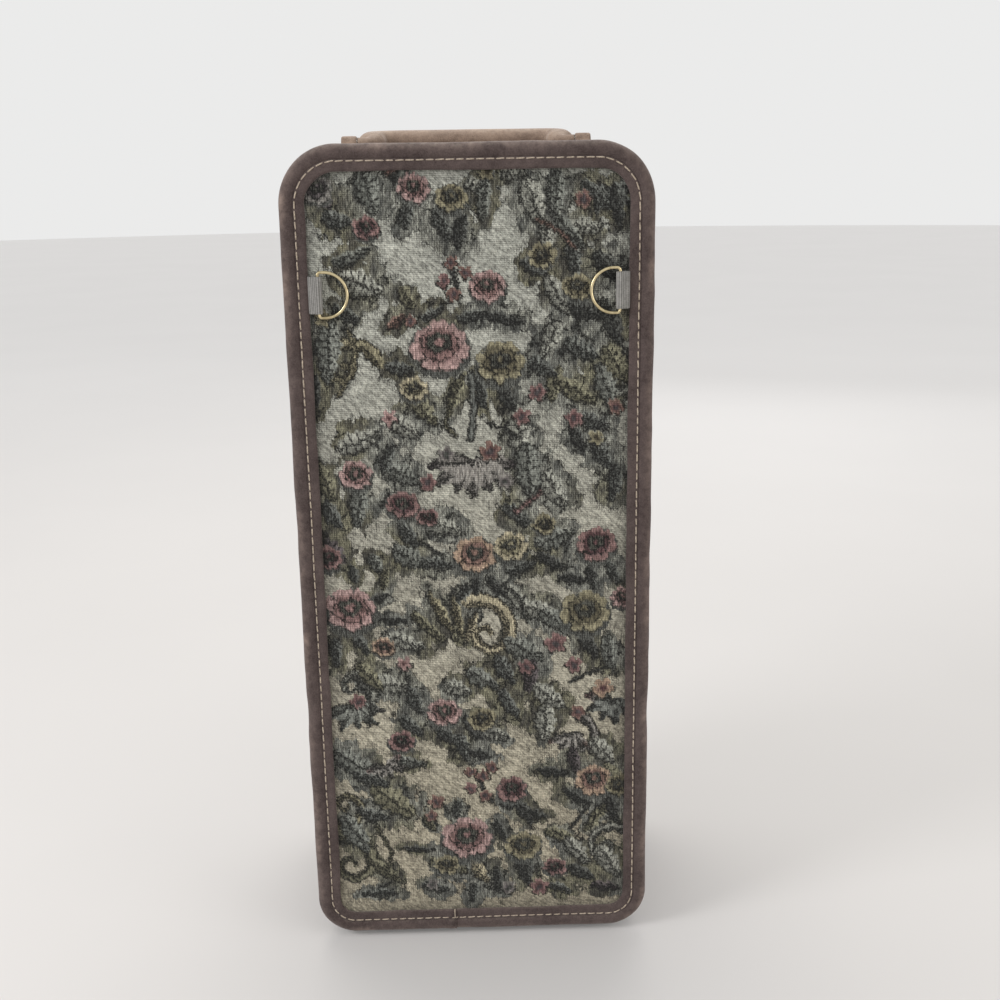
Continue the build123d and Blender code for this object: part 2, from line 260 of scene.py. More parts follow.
def makeNapGroup():
    tree, takes, gives = startGroup("Shader", "suedeNap", [
        ("place", "Vector", None), ("deep", "Color", darkTone), ("pale", "Color", paleTone),
        ("grain", "Float", 1.6), ("brush", "Float", 0.5), ("wear", "Float", 0.0),
        ("wornTone", "Color", paleTone),
    ], [("colour", "Color"), ("rough", "Float"), ("height", "Float")])
    place = takes["place"]
    push = {0: grainNoise(place, 0.5, output=1), 1: (1.5, 1.5, 1.5), 2: place}
    warped = outOf(tree, "ShaderNodeVectorMath", push, operation="MULTIPLY_ADD")
    fine = grainNoise(warped, takes["grain"], 4.0, 0.7)
    middle = grainNoise(place, 0.28, 3.0, 0.6)
    patches = ramp(grainNoise(place, 0.045), 0.40, 0.60, -0.5, 0.5)
    tone = (fine - 0.5) * 1.5 + (middle - 0.5) * 0.8 + 0.5
    tone = calc("MULTIPLY_ADD", patches, takes["brush"], tone, clamp=True)
    colour = mixColour(tone, takes["deep"], takes["pale"])
    worn = takes["wear"] * ramp(middle, 0.3, 0.65, 0.35, 1.0)
    feed(gives, {
        "colour": mixColour(worn, colour, takes["wornTone"]),
        "rough": ramp(tone, 0, 1, 0.96, 0.80),
        "height": middle * 0.7 + fine,
    })
    return tree


def makeWeaveGroup():
    tree, takes, gives = startGroup("Shader", "plainWeave", [
        ("along", "Float", 0.0), ("across", "Float", 0.0), ("alongPitch", "Float", 1.0),
        ("acrossPitch", "Float", 1.0), ("deep", "Color", darkTone), ("pale", "Color", paleTone),
        ("slub", "Float", 0.3),
    ], [("colour", "Color"), ("height", "Float")])
    warp = takes["across"] / takes["acrossPitch"]
    weft = takes["along"] / takes["alongPitch"]
    column, row = calc("FLOOR", warp), calc("FLOOR", weft)
    over = calc("PINGPONG", column + row, 1.0)
    bump = waveOf(warp, 1.0) * over + waveOf(weft, 1.0) * (1.0 - over)
    thread = (cellNoise(column, row) - 0.5) * takes["slub"]
    tone = calc("ADD", bump * 0.75, thread, clamp=True)
    feed(gives, {"colour": mixColour(tone, takes["deep"], takes["pale"]), "height": bump})
    return tree


def makeEdgeGroup():
    tree, takes, gives = startGroup("Shader", "edgeWear", [
        ("place", "Vector", None), ("sharpness", "Float", 0.53), ("spots", "Float", 0.4),
    ], [("mask", "Float")])
    pointed = outOf(tree, "ShaderNodeNewGeometry", {}, "Pointiness")
    edge = ramp(pointed, takes["sharpness"], takes["sharpness"] + 0.06)
    spots = ramp(grainNoise(takes["place"], 0.6, 3.0), takes["spots"], 0.75)
    feed(gives, {"mask": calc("MULTIPLY", edge, spots, clamp=True)})
    return tree


def makeDustGroup():
    tree, takes, gives = startGroup("Shader", "dustFilm", [
        ("place", "Vector", None), ("amount", "Float", 0.3),
    ], [("mask", "Float")])
    upward = splitXyz(outOf(tree, "ShaderNodeNewGeometry", {}, "Normal"))[2]
    spots = ramp(grainNoise(takes["place"], 0.35, 4.0, 0.65), 0.35, 0.75)
    feed(gives, {"mask": ramp(upward, 0.2, 0.95) * spots * takes["amount"]})
    return tree


napGroup = makeNapGroup()
weaveGroup = makeWeaveGroup()
edgeGroup = makeEdgeGroup()
dustGroup = makeDustGroup()
print("shared effects ready")


# Materials
def suedeMaterial(name, grain, brush, deep, pale, worn):
    material, tree, shader = startMaterial(name)
    place = objectPlace(tree)
    wear = splitXyz(readAttribute(tree, "lay"))[2]
    nap = useGroup(
        tree, napGroup, place=place, deep=deep, pale=pale,
        grain=grain, brush=brush, wear=wear, wornTone=worn,
    )
    dust = useGroup(tree, dustGroup, place=place, amount=0.22)["mask"]
    feed(shader, {
        "Base Color": mixColour(dust, nap["colour"], srgb(176, 164, 150)),
        "Roughness": nap["rough"],
        "Specular IOR Level": 0.12,
        "Sheen Weight": 0.35,
        "Sheen Roughness": 0.45,
        "Sheen Tint": (0.82, 0.74, 0.70, 1),
    })
    addBump(shader, nap["height"], 0.28, 0.8)
    return material


# Dyes of the tapestry's yarns
yarnTones = {
    # the warmer second ground tone is painted light: the pale ground as lit by warm light thrown up from the
    # floor
    "ground": (192, 192, 180), "bounceLitGround": (196, 187, 164), "mist": (156, 156, 145),
    "grey": (127, 129, 121), "moss": (132, 129, 108), "slate": (114, 116, 110),
    "char": (94, 95, 90), "ink": (88, 88, 80), "pink": (184, 155, 149),
    "rose": (148, 119, 114), "wine": (98, 72, 72), "olive": (153, 146, 120),
    "fern": (114, 108, 88), "bark": (76, 70, 58), "cream": (188, 178, 150),
    "peach": (180, 156, 134), "rust": (140, 114, 103), "mauve": (141, 137, 130),
    "plum": (98, 91, 91),
}
dyes = {name: np.array(srgb(*tone)[:3]) for name, tone in yarnTones.items()}
tapestrySet = {
    "rib": 1.05,          # pitch of the weft ribs
    "thread": 0.62,       # width of one warp thread
    "rowShift": 0.381966, # share of a thread by which each row is shifted
    "hatch": 1.25,        # pitch of the dark lines in the leaves
    "lineWidth": 0.98,
    "lineReach": 4.0,     # distance from a line at which its mark is full
    "puckerSlant": 38,    # degrees
    "bounceLightFrom": 385.0,    # painted warm light from the floor: the ground turns warmer downwards
    "bounceLightTo": 25.0,
    "dark": srgb(30, 30, 28),
}


def tapestryMaterial(values):
    material, tree, shader = startMaterial("tapestryCloth")
    x, y, z = splitXyz(objectPlace(tree))
    flat = joinXyz(x, z, 0.0)
    nearLine, hatchShare, share = splitXyz(readAttribute(tree, "marks"))
    jitter = grainNoise(flat, 0.9)

    def stretched(place, scale, detail, rough, low, high):
        return ramp(grainNoise(turnScale(place, (*scale, 1)), 1.0, detail, rough), low, high)

    # ribs run level, and each weft row has its own threads
    row = calc("FLOOR", z / values["rib"])
    shift = calc("FRACT", row * values["rowShift"]) * values["thread"]
    threadTone = cellNoise(calc("FLOOR", (x + shift) / values["thread"]), row)
    rib = waveOf(z, values["rib"])
    # the painted edge between motif and ground is cut sharp, thread by thread
    # painted light: the pale ground is mixed towards its warmer tone downwards, for warm light from the floor
    warm = ramp(z, values["bounceLightFrom"], values["bounceLightTo"])
    pale = mixColour(warm, (*dyes["ground"], 1), (*dyes["bounceLitGround"], 1))
    left = calc("MAXIMUM", 1.0 - share, 0.12)
    own = mixColour(1.0, readAttribute(tree, "dye", "Color"), shaded(pale, share), "SUBTRACT")
    own = mixColour(1.0, own, joinXyz(left, left, left), "DIVIDE")
    edge = share + (threadTone - 0.5) * 0.30 + (grainNoise(flat, 0.8, 3.0, 0.7) - 0.5) * 0.9
    ground = ramp(edge, 0.44, 0.56)
    motif = 1.0 - ground
    # the dye's alpha carries painted shade along the rim
    dye = shaded(mixColour(ground, own, pale), readAttribute(tree, "dye", "Alpha"))
    # slanting puckers in the pale ground, upright strokes in leaves and petals; besides the bump, both are
    # painted into the colour as shade in their hollows and light on their ridges
    slanted = turnScale(flat, (1, 1, 1), (0, 0, values["puckerSlant"]))
    puckers = stretched(slanted, (0.17, 0.46), 2.5, 0.6, 0.40, 0.60) * 0.38
    puckers = puckers + stretched(slanted, (0.42, 1.10), 2.0, 0.6, 0.34, 0.64) * 0.30
    puckers = puckers + stretched(flat, (0.95, 0.42), 3.0, 0.7, 0.36, 0.64) * 0.32
    stroke = stretched(flat, (1.05, 0.24), 2.0, 0.6, 0.36, 0.64)
    clouds = ramp(grainNoise(flat, 0.05, 3.0, 0.6), 0.35, 0.65, 0.84, 1.06)
    groundShade = (puckers * 1.12 + 0.34) * clouds
    motifShade = stroke * 0.80 + 0.68
    # painted shade: each thread's random tone, darkened in the grooves between the ribs
    shade = (threadTone * 0.30 + 0.80) * ramp(rib, 0.0, 0.55, 0.72, 1.06)
    colour = shaded(dye, shade * (groundShade * ground + motifShade * motif))
    # upright dark hatch
    comb = ramp(waveOf(x + jitter * 2.4, values["hatch"]), 0.45, 0.80)
    gate = stretched(flat, (0.7, 0.22), 1.0, 0.5, 0.34, 0.50)
    hatch = calc("MULTIPLY", comb * gate, hatchShare, clamp=True)
    colour = mixColour(hatch, colour, values["dark"])
    # outlines, thin and broken by the rows of thread
    away = nearLine * values["lineReach"] + (threadTone - 0.5) * 0.6
    line = ramp(away, values["lineWidth"] + 0.40, values["lineWidth"] - 0.1)
    line = line * ramp(jitter, 0.36, 0.58, 0.35, 1.0)
    feed(shader, {
        "Base Color": mixColour(line * 0.95, colour, values["dark"]),
        "Roughness": 0.88,
        "Specular IOR Level": 0.15,
        "Sheen Weight": 0.10,
        "Sheen Roughness": 0.5,
    })
    height = rib * 0.35 + threadTone * 0.15 + puckers * ground * 1.5 + stroke * motif * 0.9
    addBump(shader, height - line * 0.6 - hatch * 0.5, 0.55, 0.9)
    return material


def clothMaterial(name, deep, pale, alongPitch, acrossPitch, slub):
    # weave laid along the piece by its own attribute
    material, tree, shader = startMaterial(name)
    along, across = splitXyz(readAttribute(tree, "lay"))[:2]
    weave = useGroup(
        tree, weaveGroup, along=along, across=across, alongPitch=alongPitch,
        acrossPitch=acrossPitch, deep=deep, pale=pale, slub=slub,
    )
    patch = ramp(grainNoise(objectPlace(tree), 0.05, 3.0), 0.3, 0.7, 0.86, 1.05)
    feed(shader, {
        "Base Color": shaded(weave["colour"], patch),
        "Roughness": 0.82,
        "Specular IOR Level": 0.2,
        "Sheen Weight": 0.15,
    })
    addBump(shader, weave["height"], 0.22, 0.8)
    return material


webbingSet = {"rib": 0.95, "thread": 0.5}


def webbingMaterial(name, deep, pale, values):
    # ribs across the strap, each crossed by fine warp threads
    material, tree, shader = startMaterial(name)
    along, across = splitXyz(readAttribute(tree, "lay"))[:2]
    rib, thread = waveOf(along, values["rib"]), waveOf(across, values["thread"])
    random = cellNoise(calc("FLOOR", along / values["rib"]), calc("FLOOR", across / values["thread"]))
    tone = calc("MULTIPLY_ADD", thread, 0.12, rib * 0.62 + random * 0.22, clamp=True)
    soil = ramp(grainNoise(objectPlace(tree), 0.16, 3.0), 0.35, 0.7, 1.0, 0.82)
    feed(shader, {
        "Base Color": shaded(mixColour(tone, deep, pale), soil),
        "Roughness": 0.7,
        "Sheen Weight": 0.15,
    })
    addBump(shader, thread * 0.2 + rib, 0.22, 0.9)
    return material


def metalMaterial(name, colour, dull, rough):
    material, tree, shader = startMaterial(name)
    place = objectPlace(tree)
    stain = ramp(grainNoise(place, 0.22, 4.0, 0.6), 0.42, 0.68)
    rubbed = useGroup(tree, edgeGroup, place=place, sharpness=0.52, spots=0.35)["mask"]
    scratches = grainNoise(turnScale(place, (6.0, 0.6, 0.6), (20, 35, 10)), 1.0)
    feed(shader, {
        "Base Color": mixColour(rubbed, mixColour(stain * 0.55, colour, dull), colour),
        "Metallic": 1.0,
        "Roughness": scratches * 0.12 + rough + stain * 0.12,
    })
    addBump(shader, grainNoise(place, 1.4), 0.03, 0.3)
    return material


def plasticMaterial(name, deep, pale, rough, grain, depth):
    material, tree, shader = startMaterial(name)
    place = objectPlace(tree)
    speck = grainNoise(place, grain, 3.0, 0.6)
    dust = useGroup(tree, dustGroup, place=place, amount=0.3)["mask"]
    colour = mixColour(ramp(speck, 0.3, 0.7), deep, pale)
    feed(shader, {
        "Base Color": mixColour(dust, colour, srgb(150, 145, 138)),
        "Roughness": ramp(speck, 0.2, 0.8, rough - 0.1, rough + 0.1),
    })
    addBump(shader, speck, depth, 0.6)
    return material


def boardMaterial(name, deep, pale, fleckTone):
    material, tree, shader = startMaterial(name)
    place = objectPlace(tree)
    fibre = grainNoise(turnScale(place, (1.2, 1.2, 0.35)), 1.0, 4.0, 0.7)
    fleck = ramp(grainNoise(place, 2.2, 1.0), 0.62, 0.70)
    feed(shader, {
        "Base Color": mixColour(fleck, mixColour(fibre, deep, pale), fleckTone),
        "Roughness": 0.9,
    })
    addBump(shader, fibre, 0.15, 0.6)
    return material


def threadMaterial(name, deep, pale):
    # twisted sewing thread
    material, tree, shader = startMaterial(name)
    place = objectPlace(tree)
    tone = ramp(grainNoise(place, 1.1, 3.0, 0.6), 0.3, 0.7)
    feed(shader, {"Base Color": mixColour(tone, deep, pale), "Roughness": 0.6, "Sheen Weight": 0.2})
    x, y, z = splitXyz(place)
    addBump(shader, waveOf(x + y + z, 0.55), 0.08, 0.8)
    return material


rimTones = (srgb(56, 47, 46), srgb(104, 91, 87), srgb(146, 128, 118))
wallTones = (srgb(66, 55, 51), srgb(114, 98, 90), srgb(144, 127, 115))
# painted light: the grip's suede is a lighter copy of the rims' suede, standing in for the light from above
# on the handle's top
topLitGripTones = (srgb(104, 87, 76), srgb(168, 146, 128), srgb(184, 164, 146))
boardTones = (srgb(128, 118, 102), srgb(168, 156, 136), srgb(96, 86, 74))
rimSuede = suedeMaterial("rimSuede", 1.5, 0.22, *rimTones)
wallSuede = suedeMaterial("wallSuede", 1.3, 0.16, *wallTones)
topLitGripSuede = suedeMaterial("topLitGripSuede", 1.7, 0.20, *topLitGripTones)
tapestryCloth = tapestryMaterial(tapestrySet)
liningCloth = clothMaterial("liningCloth", srgb(96, 84, 72), srgb(156, 141, 122), 0.9, 0.9, 0.3)
tapeCloth = clothMaterial("zipTapeCloth", srgb(58, 49, 45), srgb(104, 91, 84), 1.1, 0.55, 0.3)
webbingCloth = webbingMaterial("ribbedWebbing", srgb(92, 89, 85), srgb(178, 176, 170), webbingSet)
cordFibre = clothMaterial("cordFibre", srgb(150, 138, 118), srgb(196, 184, 160), 1.6, 1.2, 0.4)
coilNylon = plasticMaterial("coilNylon", srgb(70, 58, 52), srgb(104, 90, 82), 0.38, 0.8, 0.02)
footPlastic = plasticMaterial("footPlastic", srgb(26, 24, 24), srgb(48, 45, 44), 0.55, 1.6, 0.06)
paleBrass = metalMaterial("paleBrass", srgb(214, 199, 160), srgb(150, 134, 100), 0.24)
agedBrass = metalMaterial("agedBrass", srgb(178, 158, 114), srgb(122, 106, 76), 0.36)
plainSteel = metalMaterial("plainSteel", srgb(196, 196, 194), srgb(140, 138, 134), 0.30)
greyBoard = boardMaterial("greyBoard", *boardTones)
creamThread = threadMaterial("creamThread", srgb(158, 142, 124), srgb(206, 190, 168))
tanThread = threadMaterial("tanThread", srgb(120, 100, 86), srgb(164, 144, 126))
print("materials ready")


# Outline of the case and meshes that follow it
caseForm = {
    "width": 190.0,
    "height": 442.0,
    "floorGap": 2.5,
    "topRadius": 30.0,
    "bottomRadius": 22.0,
    "frontY": -65.0,
    "splitY": 28.0,
    "jointX": -16.5,      # where the rim's two ends meet, under the panel
    "flange": 13.5,       # width of the rim, from its outer edge
}


def boxOf(node):
    # low and high corners of a CAD node in millimetres
    return [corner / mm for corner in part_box(node)]


def distances(points):
    # distance from the first point along a row of points
    steps = np.linalg.norm(np.diff(points, axis=0), axis=1)
    return np.concatenate([[0], np.cumsum(steps)])


def sideways(line):
    # unit directions across a flat line
    tangent = np.gradient(line, axis=0)
    tangent /= np.linalg.norm(tangent, axis=1)[:, None]
    return np.stack([-tangent[:, 1], tangent[:, 0]], 1)


def casePath(step, closed=True):
    half = caseForm["width"] / 2
    low = caseForm["floorGap"]
    high = low + caseForm["height"]
    top, bottom, joint = (caseForm[key] for key in ("topRadius", "bottomRadius", "jointX"))
    legs = [
        ((joint, low), (half - bottom, low)),
        ((half - bottom, low + bottom), bottom, -90),
        ((half, low + bottom), (half, high - top)),
        ((half - top, high - top), top, 0),
        ((half - top, high), (top - half, high)),
        ((top - half, high - top), top, 90),
        ((-half, high - top), (-half, low + bottom)),
        ((bottom - half, low + bottom), bottom, 180),
        ((bottom - half, low), (joint, low)),
    ]
    base, outward = [], []
    for leg in legs:
        if len(leg) == 2:
            start, end = np.array(leg[0]), np.array(leg[1])
            length = np.linalg.norm(end - start)
            along = (end - start) / length
            count = max(2, round(length / step))
            shares = np.arange(count)[:, None] / count
            base.append(start + (end - start) * shares)
            outward.append(np.tile((along[1], -along[0]), (count, 1)))
        else:
            centre, radius, first = np.array(leg[0]), leg[1], leg[2]
            count = max(6, round(radius * math.pi / 2 / min(step, 2.4)))
            angles = np.radians(first + 90 * np.arange(count) / count)
            ray = np.stack([np.cos(angles), np.sin(angles)], 1)
            base.append(centre + ray * radius)
            outward.append(ray)
    if not closed:
        base.append(np.array([legs[-1][1]]))
        outward.append(np.array([(0.0, -1.0)]))
    base = np.concatenate(base)
    return {"base": base, "outward": np.concatenate(outward), "along": distances(base)}


def pickPath(path, keep):
    # the longest run of the path where keep is true
    first = int(np.argmax(~keep))
    order = (np.arange(len(keep)) + first) % len(keep)
    kept = order[keep[order]]
    base = path["base"][kept]
    return {"base": base, "outward": path["outward"][kept], "along": distances(base)}


def insetX(path, inset):
    return path["base"][:, 0] - inset * path["outward"][:, 0]


def onPath(path, insets, depths):
    insets, depths = np.broadcast_arrays(insets, depths)
    base, outward = path["base"], path["outward"]
    x = base[:, :1] - outward[:, :1] * insets
    z = base[:, 1:] - outward[:, 1:] * insets
    return np.stack([x, depths + 0 * x, z], -1) * mm


def spreadSection(path, section):
    # distance along the path, and the section's insets and depths at every step of it
    count = len(path["along"])
    return path["along"][:, None], np.tile(section[:, 0], (count, 1)), np.tile(section[:, 1], (count, 1))


def outwardFacing(path):
    return np.stack([path["outward"][:, 0], 0 * path["along"], path["outward"][:, 1]], 1)


def valueNoise(x, y, seed):
    # smooth noise from 0 to 1 with one random value for each unit
    table = np.random.default_rng(seed).random((256, 256))
    x, y = np.broadcast_arrays(np.asarray(x, float), np.asarray(y, float))
    column, row = np.floor(x).astype(int), np.floor(y).astype(int)
    u, v = x - column, y - row
    u, v = u * u * (3 - 2 * u), v * v * (3 - 2 * v)
    a, b = table[row % 256, column % 256], table[row % 256, (column + 1) % 256]
    c, d = table[(row + 1) % 256, column % 256], table[(row + 1) % 256, (column + 1) % 256]
    return (a * (1 - u) + b * u) * (1 - v) + (c * (1 - u) + d * u) * v


def addLayer(mesh, name, values, kind="FLOAT_VECTOR", field="vector"):
    layer = mesh.attributes.new(name, kind, "POINT")
    layer.data.foreach_set(field, np.asarray(values, np.float32).ravel())


def makeObject(name, points, faces, material, smooth=True, lay=None, turnFaces=True):
    mesh = bpy.data.meshes.new(name)
    mesh.from_pydata([tuple(p) for p in np.asarray(points, float)], [], faces)
    if turnFaces:
        form = bmesh.new()
        form.from_mesh(mesh)
        bmesh.ops.recalc_face_normals(form, faces=form.faces)
        form.to_mesh(mesh)
        form.free()
    mesh.polygons.foreach_set("use_smooth", [smooth] * len(mesh.polygons))
    if lay is not None:
        addLayer(mesh, "lay", lay)
    mesh.materials.append(material)
    return addObject(name, mesh)


def gridFaces(rows, columns, wrapRows=False, wrapColumns=False):
    faces = []
    for i in range(rows if wrapRows else rows - 1):
        for j in range(columns if wrapColumns else columns - 1):
            here, there = i * columns, (i + 1) % rows * columns
            after = (j + 1) % columns
            faces.append((here + j, here + after, there + after, there + j))
    return faces


def gridEdge(rows, columns):
    # the points round a grid, in order
    ring = [*range(columns), *(i * columns + columns - 1 for i in range(1, rows))]
    ring += [(rows - 1) * columns + j for j in range(columns - 2, -1, -1)]
    return ring + [i * columns for i in range(rows - 2, 0, -1)]


def sweepPiece(name, places, material, closed, lay):
    # places has one ring of points for each step along the way
    rows, columns = places.shape[:2]
    faces = gridFaces(rows, columns, closed, True)
    points, layRows = places.reshape(-1, 3), lay.reshape(-1, 3)
    if not closed:
        points = np.concatenate([points, [places[0].mean(0), places[-1].mean(0)]])
        layRows = np.concatenate([layRows, [lay[0].mean(0), lay[-1].mean(0)]])
        for row, middle in ((0, rows * columns), (rows - 1, rows * columns + 1)):
            first = row * columns
            faces += [(first + j, first + (j + 1) % columns, middle) for j in range(columns)]
    return makeObject(name, points, faces, material, lay=layRows)


def layOf(path, section, wear=0.0):
    # distance along the path, distance round the section, and wear
    lay = np.zeros((len(path["along"]), len(section), 3))
    lay[:, :, 0] = path["along"][:, None]
    lay[:, :, 1] = distances(section)[None, :]
    lay[:, :, 2] = wear
    return lay


def finishPiece(piece, body, slotName, *replaced):
    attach(piece, body)
    if replaced:
        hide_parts(*replaced)


# Tapestry: flowers, leaves and scrolls are painted on the cloth's points
flowerDyes = {
    "pink": ("pink", "rose", "wine"),
    "rose": ("rose", "wine", "plum"),
    "olive": ("olive", "fern", "bark"),
    "cream": ("cream", "olive", "fern"),
    "peach": ("peach", "rust", "wine"),
    "rust": ("rust", "wine", "plum"),
    "mauve": ("mauve", "plum", "char"),
}
fullLine = tapestrySet["lineReach"]


def soft(low, high, value):
    share = np.clip((value - low) / (high - low), 0, 1)
    return share * share * (3 - 2 * share)


def between(low, high, share):
    return low * (1 - share) + high * share


def turned(du, dv, angle):
    # places along and across a direction in degrees
    turn = math.radians(angle)
    return du * math.cos(turn) + dv * math.sin(turn), -du * math.sin(turn) + dv * math.cos(turn)


def startCloth(u, v):
    comb = valueNoise(np.floor(u / 1.35) * 7.31, v / 5.0, 11) - 0.5
    rows = valueNoise(np.floor(v / tapestrySet["rib"]) * 5.17, u / 6.0, 12) - 0.5
    # painted light: the ground dye turns warmer downwards, for warm light thrown up from the floor
    fromFloor = caseForm["floorGap"] + caseForm["height"] - v
    warm = soft(tapestrySet["bounceLightFrom"], tapestrySet["bounceLightTo"], fromFloor)[:, None]
    return {
        "u": u + 1.5 * (valueNoise(u / 3.1, v / 3.1, 13) - 0.5) + 1.0 * rows,
        "v": v + 1.5 * (valueNoise(u / 2.9, v / 2.9, 14) - 0.5) + 1.9 * comb,
        "dye": between(dyes["ground"], dyes["bounceLitGround"], warm),
        "line": np.full(len(u), fullLine),
        "hatch": np.zeros(len(u)),
        "ground": np.ones(len(u)),
    }


def layFoliage(cloth, rows, values):
    # one soft mass behind the leaves, with feathered edges and upright strokes
    u, v = cloth["u"], cloth["v"]
    field = np.full(len(u), -2.0)
    for row in rows:
        a, b, length, width, angle = row[:5]
        part = nearPart(cloth, a, b, length)
        along, across = turned(u[part] - a, v[part] - b, angle)
        along, across = along / (values["long"] * length), across / (values["wide"] * width)
        field[part] = np.maximum(field[part], 1 - along ** 2 - across ** 2)
    rough = valueNoise(u / 4.2, v / 5.2, 18) - 0.5 + 0.6 * (valueNoise(u / 1.9, v / 2.8, 19) - 0.5)
    ragged = field + values["ragged"] * rough
    stroke = valueNoise(u / 1.7 + v / 9, v / 5.0, 23) + 0.7 * (valueNoise(u / 6, v / 7, 24) - 0.5)
    leafy = np.abs(np.sin((u * 0.8 + v * 0.45) / 3.1 + 5 * valueNoise(u / 9, v / 9, 25)))
    share = soft(0.15, 0.95, 0.65 * stroke + 0.35 * leafy)[:, None]
    # random warmer patches, plus painted warm light from the floor that grows towards the bottom
    warm = soft(0.45, 0.75, valueNoise(u / 26, v / 30, 26) + 0.16 * v / 400)[:, None]
    low = between(dyes["char"], 0.5 * (dyes["bark"] + dyes["char"]), warm)
    high = between(dyes["mist"], dyes["moss"] * 1.1, warm)
    whole = np.arange(len(u))
    layDye(cloth, whole, soft(-0.06, 0.16, ragged), between(low, high, share), 0.55)
    edge = (np.abs(ragged) < 0.10) & (valueNoise(u / 5, v / 5, 27) > 0.4)
    drawLine(cloth, whole[edge], ragged[edge] * 8, 0.6)
    crease = np.abs(valueNoise(u / 4.5 + v / 14, v / 7.5, 38) - 0.5) * 12
    inMass = (field > 0.15) & (crease < 1.4)
    drawLine(cloth, whole[inMass], crease[inMass], 0.62)
    # the ground near the leaves carries dark flecks
    near = soft(-1.1, -0.02, field + 1.3 * values["ragged"] * rough)
    cloth["hatch"] = np.maximum(cloth["hatch"], 0.60 * near)


def nearPart(cloth, u, v, reach):
    near = (np.abs(cloth["u"] - u) < reach) & (np.abs(cloth["v"] - v) < reach)
    return np.nonzero(near)[0]


def layDye(cloth, part, mask, tone, hatch):
    mask = np.clip(mask, 0, 1)
    cloth["dye"][part] += (tone - cloth["dye"][part]) * mask[:, None]
    for key, full in (("hatch", hatch), ("ground", 0.0), ("line", fullLine)):
        cloth[key][part] += (full - cloth[key][part]) * mask


def drawLine(cloth, part, away, weight):
    cloth["line"][part] = np.minimum(cloth["line"][part], np.abs(away) / weight)


leafSet = {
    "tooth": 0.30,        # depth of the notches along the edge
    "light": 1.32,        # tone of the lit side, as a share of the dye
    "dark": 0.56,
    "veins": 1.6,         # for each lobe
    "rim": 1.6,           # how far from the edge its line is drawn
}


def drawLeaf(cloth, u, v, length, width, angle, tone, lobes, hatch, outline, tip=None):
    values = leafSet
    part = nearPart(cloth, u, v, length * 0.75 + width * 0.4)
    du, dv = cloth["u"][part] - u, cloth["v"][part] - v
    along, across = turned(du, dv, angle)
    along = along / length + 0.5
    fromAxis = np.abs(across)
    t = np.clip(along, 0, 1)
    notch = np.abs(np.sin(math.pi * lobes * (t + 0.12 * fromAxis / width)))
    toothed = 1 - values["tooth"] + values["tooth"] * notch
    half = width / 2 * np.sin(math.pi * t ** 0.8) ** 0.75 * toothed
    away = np.where((along < 0) | (along > 1), 3.0, fromAxis - half)
    grain = 0.5 * (valueNoise(du / 4 + 40, dv / 4 + 40, 16) - 0.5)
    side = soft(-0.6, 0.6, across / np.maximum(half, 0.5) + grain)
    lobe = np.abs(np.sin(math.pi * lobes * (t + 0.45 * fromAxis / width)))
    side = np.clip(side * 0.85 + 0.55 * (0.5 - lobe), 0, 1)
    shade = between(dyes[tone] * values["light"], dyes[tone] * values["dark"], side[:, None])
    if tip is not None:
        shade = between(shade, dyes[tip], soft(0.55, 0.95, t)[:, None])
    layDye(cloth, part, soft(0.3, -0.3, away), shade, hatch * (0.35 + 0.65 * side))
    count = lobes * values["veins"]
    veinAway = np.abs((t * count + 0.9 * fromAxis / width) % 1.0 - 0.5) * length / count
    inner = away < -0.35
    drawLine(cloth, part[inner], np.minimum(fromAxis, veinAway * 1.4 + 0.15)[inner], 0.9 * outline)
    rim = (np.abs(away) < values["rim"]) & (across > -0.25 * width)
    drawLine(cloth, part[rim], away[rim], outline)


def drawRose(cloth, u, v, radius, tones, turn):
    light, middle, dark = (dyes[name] for name in flowerDyes[tones])
    part = nearPart(cloth, u, v, radius * 1.3)
    du, flatness = cloth["u"][part] - u, 0.86
    shadow = np.hypot(du, (cloth["v"][part] - v - 0.16 * radius) / 0.92) / radius
    layDye(cloth, part, 0.9 * soft(1.12, 1.0, shadow), dyes["char"], 0.8)
    rings = (
        # reach, petals, offset, lift, dye, dye at the root, hatch, depth of lobes, upper edge drawn
        (1.0, 7, 0.0, 0.0, light, 0.5 * dark + 0.5 * middle, 0.25, 0.26, 0.2),
        (0.64, 5, 0.9, -0.06, middle, 0.5 * dark + 0.5 * middle, 0.6, 0.18, -0.7),
        (0.42, 4, 0.2, -0.10, dyes["ink"], dyes["ink"], 1.0, 0.18, -0.7),
        (0.17, 3, 0.6, -0.12, middle, middle, 0.3, 0.18, -0.7),
    )
    for reach, petals, offset, lift, base, low, hatch, deep, upper in rings:
        dv = (cloth["v"][part] - v - lift * radius) / flatness
        r, angle = np.hypot(du, dv) / radius, np.arctan2(dv, du)
        bent = angle + 0.5 * (valueNoise(du / 3 + 50, dv / 3 + 50, 28) - 0.5)
        lobe = np.abs(np.cos(petals * (bent - turn - offset) / 2))
        edge = reach * (1 - deep + deep * lobe ** 0.5)
        away = (r - edge) * radius
        t = np.clip(r / np.maximum(edge, 0.05), 0, 1)
        shade = between(low, base, soft(0.52, 0.86, t)[:, None])
        streak = valueNoise(np.cos(angle) * 9 + 20, np.sin(angle) * 9 + 20, 29)[:, None]
        shade = shade * (0.80 + 0.36 * streak) * (0.94 + 0.12 * soft(-0.5, 0.9, dv / radius))[:, None]
        layDye(cloth, part, soft(0.3, -0.3, away), shade, hatch)
        groove = (lobe < 0.34) & (away < 0) & (t > 0.45)
        drawLine(cloth, part[groove], lobe[groove] * 2.2, 1.0)
        edgeLine = (away < 0.9) & (away > -0.6) & (np.sin(angle) > upper)
        drawLine(cloth, part[edgeLine], away[edgeLine], 1.0)


